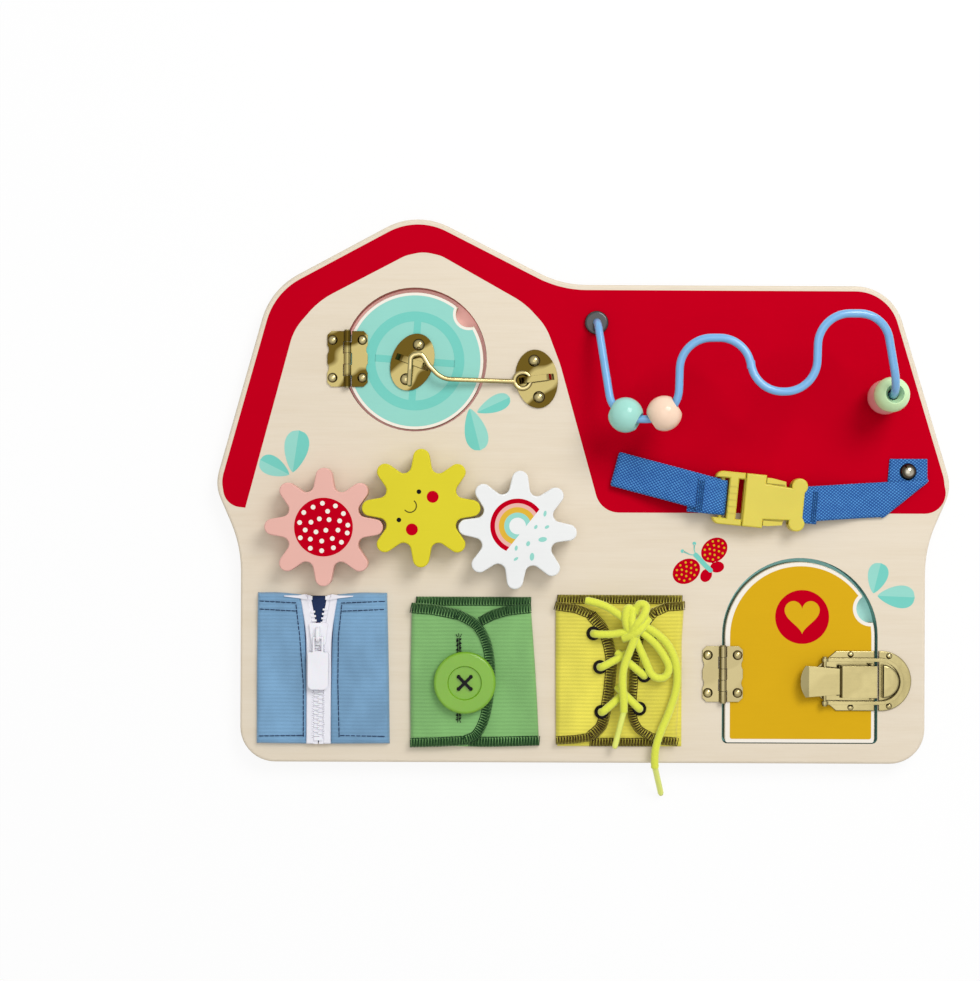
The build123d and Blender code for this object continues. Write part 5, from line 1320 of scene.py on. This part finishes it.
# ---------------------------------------------------------------- strap and buckle
STRAP_WIDTH = 19.0
STRAP_LINES = 15
WEBBING = 1.3
BUCKLE_TURN = -5.5
BUCKLE_CENTRE = (94.6, -4.9)
BUCKLE_MIDDLE = 2.2 + 8.6 / 2
BAR_RADIUS, SCREW_HEAD, CLEARANCE = 1.2, 1.6, 0.3
# How far the webbing's middle stands from a bar's middle where it wraps the bar.
WRAP = BAR_RADIUS + CLEARANCE + WEBBING / 2
WRAP_TOP, WRAP_BOTTOM = BUCKLE_MIDDLE + WRAP, BUCKLE_MIDDLE - WRAP
WRAP_BEND = WRAP - 0.05
TAIL_TOP = WRAP_TOP + WEBBING
LEFT_END = (16.3, 12.6)
RIGHT_CORNER = (160.1, -4.0)
# The slanting fold of the right strap, and how far along it the strap starts to reach for the fold.
FOLD = (Vector((162.2, -13.3)), Vector((187.6, 7.2)))
FOLD_FROM, FOLD_RUN = 40.0, 38.0


def strap_lines(origin, angle, route, radii, clip=None):
    """Lines along a strap that stands on its route in an upright plane; clip gives each line its length."""
    chain = rounded(route, radii, closed=False, steps=8)
    flat_route = resampled([Vector((x, y, 0)) for x, y in chain], 0.5)
    along = Vector((cos(radians(angle)), sin(radians(angle)), 0))
    side = Vector((-along.y, along.x, 0))
    start = Vector((origin[0], origin[1], FACE))
    lines = []
    for index in range(STRAP_LINES):
        offset = STRAP_WIDTH * (index / (STRAP_LINES - 1) - 0.5)
        line = []
        for k, point in enumerate(flat_route):
            ahead = flat_route[min(k + 1, len(flat_route) - 1)] - flat_route[max(k - 1, 0)]
            run, rise = ahead.x, ahead.y
            size = hypot(run, rise)
            reach = clip(offset, point.x) if clip else point.x
            place = start + along * reach + side * offset + UP * point.y
            line.append((place, along * (-rise / size) + UP * (run / size)))
        lines.append(line)
    return lines


def strap(name, side, body, lines):
    """A length of the strap's webbing."""
    return ribbon(f"strap_{side}_{name}", lines, WEBBING, f"webbing_{side}", body, "blue_webbing")


class BUSYBOARD_OT_strap(bpy.types.Operator):
    """Woven webbing round the bars of the buckle, its folded end, its stitching, and the moulded buckle."""
    bl_idname = "busyboard.strap"
    bl_label = "Strap and buckle"

    def execute(self, context):
        dress("buckle_yellow", "buckle_plug", "buckle_prongs", "buckle_socket")
        plug_bar, socket_bar = turned([(-20.2, 0), (19.6, 0)], BUCKLE_CENTRE, BUCKLE_TURN)
        self.left_strap(plug_bar)
        self.right_strap(socket_bar)
        for side, bar, reaches, body in (
            ("left", plug_bar, (-12.6, -11.6, -10.6), "buckle_plug"),
            ("right", socket_bar, (11.1, 10.1, 9.1), "board"),
        ):
            rows = [turned([(reach, -8.6), (reach, 8.6)], bar, BUCKLE_TURN) for reach in reaches]
            running_stitch(f"strap_stitch_{side}", rows, FACE + TAIL_TOP + WEBBING / 2, "thread_blue", body,
                           "blue_webbing", radius=0.34, length=1.5, gap=0.35)
        return {"FINISHED"}

    def left_strap(self, bar):
        """From the left screw up to the plug, round its bar and back."""
        angle = degrees(atan2(bar[1] - LEFT_END[1], bar[0] - LEFT_END[0]))
        length = hypot(bar[0] - LEFT_END[0], bar[1] - LEFT_END[1])
        over_screw = WEBBING + SCREW_HEAD + CLEARANCE + WEBBING / 2
        run = strap("run", "left", "", strap_lines(LEFT_END, angle, [
            (15.0, 0.65), (1.2, 0.65), (1.2, over_screw), (13.0, over_screw), (40.0, WRAP_TOP),
            (length - 3.0, WRAP_TOP),
        ], [0, 1.3, 1.3, 15.0, 15.0, 0]))
        strap("loop", "left", "buckle_plug", strap_lines(bar, BUCKLE_TURN, [
            (-13.5, TAIL_TOP), (-5.0, TAIL_TOP), (-1.5, WRAP_TOP), (WRAP, WRAP_TOP), (WRAP, WRAP_BOTTOM),
            (-3.0, WRAP_BOTTOM), (-9.0, BUCKLE_MIDDLE), (-18.0, BUCKLE_MIDDLE - 0.6),
        ], [0, 3.0, 3.0, WRAP_BEND, WRAP_BEND, 3.0, 3.0, 0]))
        held, pulled = turned([(16.0, 0), (length - 3.0, 0)], LEFT_END, angle)
        tuple(c * MM for c in (*held, WRAP_TOP))
        tuple(c * MM for c in (*pulled, WRAP_TOP))
        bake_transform(run)
        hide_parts("strap_left")

    def right_strap(self, bar):
        """From the socket's bar to the fold, and up to the right screw."""
        angle = degrees(atan2(RIGHT_CORNER[1] - bar[1], RIGHT_CORNER[0] - bar[0]))
        crease = (FOLD[1] - FOLD[0]).normalized()
        along = Vector((cos(radians(angle)), sin(radians(angle))))
        side = Vector((-along.y, along.x))

        def to_fold(offset, reach):
            gap = FOLD[0] - (Vector(bar) + side * offset)
            limit = (gap.x * crease.y - gap.y * crease.x) / (along.x * crease.y - along.y * crease.x)
            if reach <= FOLD_FROM:
                return reach
            return FOLD_FROM + (reach - FOLD_FROM) * (limit - FOLD_FROM) / FOLD_RUN

        over_end = 1.5 * WEBBING + 0.1
        strap("loop", "right", "board", strap_lines(bar, BUCKLE_TURN, [
            (13.0, WRAP_BOTTOM - 0.4), (8.0, WRAP_BOTTOM), (-WRAP, WRAP_BOTTOM), (-WRAP, WRAP_TOP),
            (1.5, WRAP_TOP), (5.0, TAIL_TOP), (12.0, TAIL_TOP),
        ], [0, 8.0, WRAP_BEND, WRAP_BEND, 3.0, 3.0, 0]))
        run = strap("run", "right", "board", strap_lines(bar, angle, [
            (3.0, WRAP_TOP), (12.0, WRAP_TOP), (36.0, over_end), (78.0, over_end),
        ], [0, 12.0, 15.0, 0], to_fold))
        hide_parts("strap_right")
        lines = []
        for index in range(STRAP_LINES):
            t = index / (STRAP_LINES - 1)
            low = Vector((164.4, -11.5)).lerp(FOLD[1], t)
            high = Vector((167.0, 18.4)).lerp(Vector((187.6, 18.4)), t)
            lines.append([(Vector((*low.lerp(high, k / 48), FACE + 0.65)), UP) for k in range(49)])
        strap("end", "right", "board", lines)
        roll = [Vector((*FOLD[0].lerp(FOLD[1], k / 20), FACE + 1.38)) for k in range(21)]
        verts, faces = tube_rings(roll, lambda d, a: 1.32 if 0 < d < 32 else 0.9, 12)
        piece("strap_right_fold", verts, faces, "webbing_right", "board", "blue_webbing")


# ---------------------------------------------------------------- zip patch
ZIP_X = -143.9
ZIP_PATCH = (-177.8, -106.5, -138.2, -55.8)
# Heights of the backing, the tapes and the cloth over the board's face.
ZIP_BACKING, ZIP_TAPE, ZIP_CLOTH = 2.3, 3.25, 4.15
# Flat parts of a tape beside the teeth and over the cloth, each with its height and its thickness.
TAPE_STRIPS = (
    ("inner", [(0.3, -138.0), (2.7, -138.0), (2.75, -80.0), (6.5, -57.0), (4.6, -57.0), (0.3, -80.0)],
     2.52, 0.3),
    ("end", [(5.6, -59.6), (11.0, -58.6), (18.6, -57.7), (18.9, -57.2), (11.0, -57.1), (7.4, -56.4)],
     4.1, 0.35),
)


def beside_teeth(points, sign):
    """Points right of the zip's middle, or their mirror image left of it."""
    return [(ZIP_X + sign * x, y) for x, y in points]


class BUSYBOARD_OT_zip_patch(bpy.types.Operator):
    """Blue ribbed cloth with a white zip: woven tapes, hems and navy running stitches."""
    bl_idname = "busyboard.zip_patch"
    bl_label = "Zip patch"

    def execute(self, context):
        left, right, bottom, top = ZIP_PATCH
        under = cloth_layer(
            "zip_backing", box_edges(left + 1.0, right - 1.0, bottom + 0.6, top - 1.6),
            FACE + ZIP_BACKING, FACE, "thread_navy", "blue_cloth", rounding=0.8, swell=0.02, step=1.0)
        west = cloth_layer("zip_cloth_left", (
            [(left, bottom + 0.3), (ZIP_X - 6.2, bottom)],
            [(left + 0.4, top), (-166.0, top + 0.1), (ZIP_X - 9.8, top - 1.0)],
            [(left, bottom + 0.3), (left, -95.0), (left + 0.4, top)],
            [(ZIP_X - 6.2, bottom), (ZIP_X - 6.3, -100.0), (ZIP_X - 7.6, -72.0), (ZIP_X - 9.8, top - 1.0)],
        ), FACE + ZIP_CLOTH, FACE, "cloth_blue", "blue_cloth")
        east = cloth_layer("zip_cloth_right", (
            [(ZIP_X + 6.2, bottom), (right + 1.3, bottom + 0.3)],
            [(ZIP_X + 9.6, top - 1.0), (-122.0, top + 0.1), (right - 0.4, top)],
            [(ZIP_X + 6.2, bottom), (ZIP_X + 6.3, -100.0), (ZIP_X + 7.4, -72.0), (ZIP_X + 9.6, top - 1.0)],
            [(right + 1.3, bottom + 0.3), (right + 0.6, -95.0), (right - 0.4, top)],
        ), FACE + ZIP_CLOTH, FACE, "cloth_blue", "blue_cloth")
        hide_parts("zip_sleeve")
        running_stitch("zip_stitches", [
            [(left + 1.2, -60.2), (ZIP_X - 11.6, -61.2)], [(left + 1.2, -64.6), (ZIP_X - 12.2, -65.6)],
            [(ZIP_X + 11.6, -61.2), (right - 1.4, -60.2)], [(ZIP_X + 12.2, -65.6), (right - 1.4, -64.6)],
            [(ZIP_X - 12.4, -61.6), (ZIP_X - 10.2, -80.0), (ZIP_X - 8.2, -105.0), (ZIP_X - 8.0, -134.0)],
            [(ZIP_X + 12.6, -61.6), (ZIP_X + 10.8, -80.0), (ZIP_X + 10.6, -105.0), (ZIP_X + 11.4, -134.0)],
            [(left + 1.2, -133.6), (ZIP_X - 8.2, -133.2)], [(ZIP_X + 11.4, -133.2), (right - 1.4, -133.6)],
        ], FACE + 4.02, "thread_navy", "board", "blue_cloth", radius=0.24, length=settings().stitch, gap=0.6)
        tapes = [self.tape(side, sign) for side, sign in SIDES]
        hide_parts("zip_tapes")
        for name, outline, level, thickness in TAPE_STRIPS:
            for side, sign in SIDES:
                flat(f"zip_tape_{name}_{side}", [beside_teeth(outline, sign)], FACE + level, "tape_white",
                     "board", thickness)
        dress("zip_white", "zip_teeth", "zip_stops", "zip_slider", "zip_pull")
        threads = []
        for side, sign in SIDES:
            for point, _ in path_steps(beside_teeth([(2.9, -134.0), (2.9, -80.0)], sign), 1.2):
                middle = point + UP * (FACE + 3.35)
                start, end = middle - Vector((0.7, 0.25, 0)), middle + Vector((0.7, -0.25, 0))
                threads.append(capsule(start, end, 0.3))
        piece("zip_tape_stitches", *joined(threads), "tape_white", "board", "white_tape")
        return {"FINISHED"}

    def tape(self, side, sign):
        """The woven tape on one side of the teeth."""
        outer = beside_teeth([(6.7, -138.0), (6.75, -100.0), (7.2, -78.0), (10.4, -57.2)], sign)
        inner = beside_teeth([(2.5, -138.0), (2.5, -100.0), (2.55, -80.0), (6.3, -56.4)], sign)
        first, second = (outer, inner) if sign < 0 else (inner, outer)
        return cloth_layer(
            f"zip_tape_{side}", ([first[0], second[0]], [first[-1], second[-1]], first, second),
            FACE + ZIP_TAPE, FACE + ZIP_BACKING, "tape_white", "white_tape", rounding=0.3, swell=0.02,
            rib=0.0)


# ---------------------------------------------------------------- button patch
BUTTON_PATCH = (-93.8, -26.5, -140.6, -57.8)
BUTTON_FLAP = [
    (-64.0, -138.2), (-56.6, -134.6), (-51.6, -125.8), (-48.6, -112.0), (-47.8, -97.5), (-50.0, -82.5),
    (-56.2, -71.2), (-67.0, -64.8),
]
# Heights of the cloth's back, its lower layer and its flap.
BACK_TOP, LOWER_TOP, FLAP_TOP = FACE + 1.4, FACE + 2.7, FACE + 4.5
BUTTONHOLE_X = -67.6
# The free threads at the buttonhole's ends: where each starts and how far it leans.
LOOSE_THREADS = (
    (-0.6, -79.6, -1.0), (0.1, -79.2, -0.3), (0.7, -79.5, 0.8), (-0.2, -124.2, -0.4), (0.5, -124.3, 0.7),
)


class BUSYBOARD_OT_button_patch(bpy.types.Operator):
    """Green ribbed cloth: a curved flap over a lower layer, overlocked, with a buttonhole and a button."""
    bl_idname = "busyboard.button_patch"
    bl_label = "Button patch"

    def execute(self, context):
        left, right, bottom, top = BUTTON_PATCH
        back = cloth_layer(
            "button_back", box_edges(left + 3.0, right - 2.0, bottom + 2.0, top), BACK_TOP, FACE,
            "cloth_green", "green_cloth", rounding=0.8)
        lower = cloth_layer("button_lower", (
            [(-75.0, -139.0), (-52.0, -139.4), (right + 2.8, -138.6)],
            [(-75.0, -64.6), (-56.0, -66.6), (-42.0, -62.6), (right - 2.2, -61.0)],
            [(-75.0, -139.0), (-75.0, -64.6)],
            [(right + 2.8, -138.6), (right + 0.7, -100.0), (right - 2.2, -61.0)],
        ), LOWER_TOP, FACE + 0.9, "cloth_green", "green_cloth")
        flap = cloth_layer("button_flap", (
            [(left, -139.6), (-78.0, -139.2), (-64.0, -138.2)],
            [(left + 0.4, -61.0), (-82.0, -61.8), (-67.0, -64.8)],
            [(left, -139.6), (left - 0.2, -100.0), (left + 0.4, -61.0)], BUTTON_FLAP,
        ), FLAP_TOP, FACE + 1.2, "cloth_green", "green_cloth")
        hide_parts("button_sleeve")
        for name, path, level, share in (
            ("flap", [(p.x, p.y) for p in through(BUTTON_FLAP, 60)], 4.35, 0.9),
            ("flap_top", [(-68.0, -64.5), (-82.0, -61.8), (left + 0.6, -61.0)], 4.35, 0.95),
            ("lower_top", [(right - 2.2, -61.0), (-42.0, -62.6), (-50.0, -65.0), (-57.0, -68.6)], 2.6, 0.9),
            ("back", [(right - 2.0, top), (left + 3.0, top)], 1.3, 0.8),
            ("bottom", [(left, -139.6), (-78.0, -139.2), (-65.0, -138.3)], 4.3, 0.9),
            ("bottom_right", [(-62.0, -139.2), (-52.0, -139.4), (right + 2.6, -138.6)], 2.5, 0.95),
        ):
            overlock(f"button_overlock_{name}", [path], FACE + level, share, "thread_green", "green_cloth")
        self.buttonhole()
        dress("button_green", "button")
        dress("thread_black", "button_thread")
        return {"FINISHED"}

    def buttonhole(self):
        """Black stitches on both sides of the slot, as far as the button lets it show."""
        threads = []
        for low, high in ((-124.2, -118.4), (-88.6, -79.6)):
            for k in range(int((high - low) / 0.5)):
                y = low + 0.5 * k
                for sign in (-1, 1):
                    reach = 0.9 + 0.65 * abs(sin(k * 2.4 + sign))
                    start = (BUTTONHOLE_X + sign * 0.15, y, FLAP_TOP + 0.12)
                    end = (BUTTONHOLE_X + sign * reach, y + 0.5 * sin(k * 5.1 + sign), FLAP_TOP)
                    threads.append(capsule(start, end, 0.2 + 0.06 * abs(sin(k * 3.3))))
        for x, y, lean in LOOSE_THREADS:
            start = (BUTTONHOLE_X + x, y, FLAP_TOP + 0.1)
            end = (BUTTONHOLE_X + x + lean, y + (1.9 if y > -100 else -1.7), FLAP_TOP + 0.05)
            threads.append(capsule(start, end, 0.2))
        piece("buttonhole_thread", *joined(threads), "thread_black", "board", "black_thread")


# ---------------------------------------------------------------- lace patch
LACE_PATCH = (-15.0, 55.2, -139.6, -56.5)
LACE_FLAP_LEFT = [
    (6.0, -135.6), (12.6, -129.0), (15.6, -118.0), (17.6, -104.0), (18.0, -89.0), (13.6, -74.0), (6.6, -65.4),
]
LACE_FLAP_RIGHT = [
    (35.6, -135.2), (28.4, -130.4), (24.4, -121.0), (25.0, -106.0), (26.2, -90.0), (30.0, -74.0),
    (37.4, -63.6),
]
LACE_FLAP_TOP, LACE_SEAM = FACE + 4.1, 3.95


class BUSYBOARD_OT_lace_patch(bpy.types.Operator):
    """Yellow ribbed cloth: two flaps with curved overlocked edges and six black eyelets."""
    bl_idname = "busyboard.lace_patch"
    bl_label = "Lace patch"

    def execute(self, context):
        left, right, bottom, top = LACE_PATCH
        back = cloth_layer(
            "lace_back", box_edges(left + 1.2, right - 1.2, bottom + 0.6, top), BACK_TOP, FACE,
            "cloth_yellow", "yellow_cloth", rounding=0.8)
        west = cloth_layer("lace_flap_left", (
            [(left + 0.4, -137.8), (-4.0, -137.2), (6.0, -135.6)],
            [(left, -60.0), (-4.0, -61.4), (6.6, -65.4)],
            [(left + 0.4, -137.8), (left + 0.1, -98.0), (left, -60.0)], LACE_FLAP_LEFT,
        ), LACE_FLAP_TOP, FACE + 0.6, "cloth_yellow", "yellow_cloth")
        east = cloth_layer("lace_flap_right", (
            [(35.6, -135.2), (42.0, -137.6), (right - 4.0, -138.4)],
            [(37.4, -63.6), (45.0, -60.4), (right, -59.6)], LACE_FLAP_RIGHT,
            [(right - 4.0, -138.4), (right - 2.2, -98.0), (right, -59.6)],
        ), LACE_FLAP_TOP, FACE + 0.6, "cloth_yellow", "yellow_cloth")
        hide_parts("lace_sleeve")
        tops = [
            [(5.4, -65.0), (-4.0, -61.4), (left + 0.2, -60.0)],
            [(right - 0.2, -59.6), (45.0, -60.4), (38.4, -63.4)]]
        bottoms = [
            [(left + 0.6, -137.8), (-4.0, -137.2), (5.0, -135.8)],
            [(36.6, -135.6), (42.0, -137.6), (right - 4.2, -138.4)]]
        ends = [[(right - 1.2, top), (left + 1.2, top)], [(4.0, bottom + 0.6), (38.0, bottom + 0.6)]]
        for name, paths, level, share in (
            ("left", [[(p.x, p.y) for p in through(LACE_FLAP_LEFT, 60)]], LACE_SEAM, 1.05),
            ("right", [[(p.x, p.y) for p in reversed(through(LACE_FLAP_RIGHT, 60))]], LACE_SEAM, 0.8),
            ("tops", tops, LACE_SEAM, 0.8), ("bottoms", bottoms, LACE_SEAM, 0.8), ("back", ends, 1.3, 0.8),
        ):
            overlock(f"lace_overlock_{name}", paths, FACE + level, share, "thread_olive", "yellow_cloth")
        dress("black_metal", "lace_eyelets")
        return {"FINISHED"}


# ---------------------------------------------------------------- panel
class BUSYBOARD_PT_panel(bpy.types.Panel):
    """Settings and one button for each group of pieces."""
    bl_label = "Busy board"
    bl_idname = "BUSYBOARD_PT_panel"
    bl_space_type = "VIEW_3D"
    bl_region_type = "UI"
    bl_category = "Busy board"

    def draw(self, context):
        column = self.layout.column()
        for name in BusyBoardSettings.__annotations__:
            column.prop(context.scene.busy_board, name)
        for step in STEPS:
            column.operator(step.bl_idname)


STEPS = (
    BUSYBOARD_OT_stage, BUSYBOARD_OT_lace_ends, BUSYBOARD_OT_lace_knot, BUSYBOARD_OT_wood,
    BUSYBOARD_OT_prints, BUSYBOARD_OT_window, BUSYBOARD_OT_door, BUSYBOARD_OT_gears, BUSYBOARD_OT_metal,
    BUSYBOARD_OT_maze, BUSYBOARD_OT_strap, BUSYBOARD_OT_zip_patch, BUSYBOARD_OT_button_patch,
    BUSYBOARD_OT_lace_patch,
)
CLASSES = (BusyBoardSettings, *STEPS, BUSYBOARD_PT_panel)


def register():
    """Add the settings, the operators and the panel."""
    for item in CLASSES:
        bpy.utils.register_class(item)
    bpy.types.Scene.busy_board = bpy.props.PointerProperty(type=BusyBoardSettings)


def unregister():
    """Take away what register added."""
    del bpy.types.Scene.busy_board
    for item in reversed(CLASSES):
        bpy.utils.unregister_class(item)


def main():
    """Build every group in order."""
    register()
    for step in STEPS:
        group, name = step.bl_idname.split(".")
        getattr(getattr(bpy.ops, group), name)()


if __name__ == "__main__":
    main()
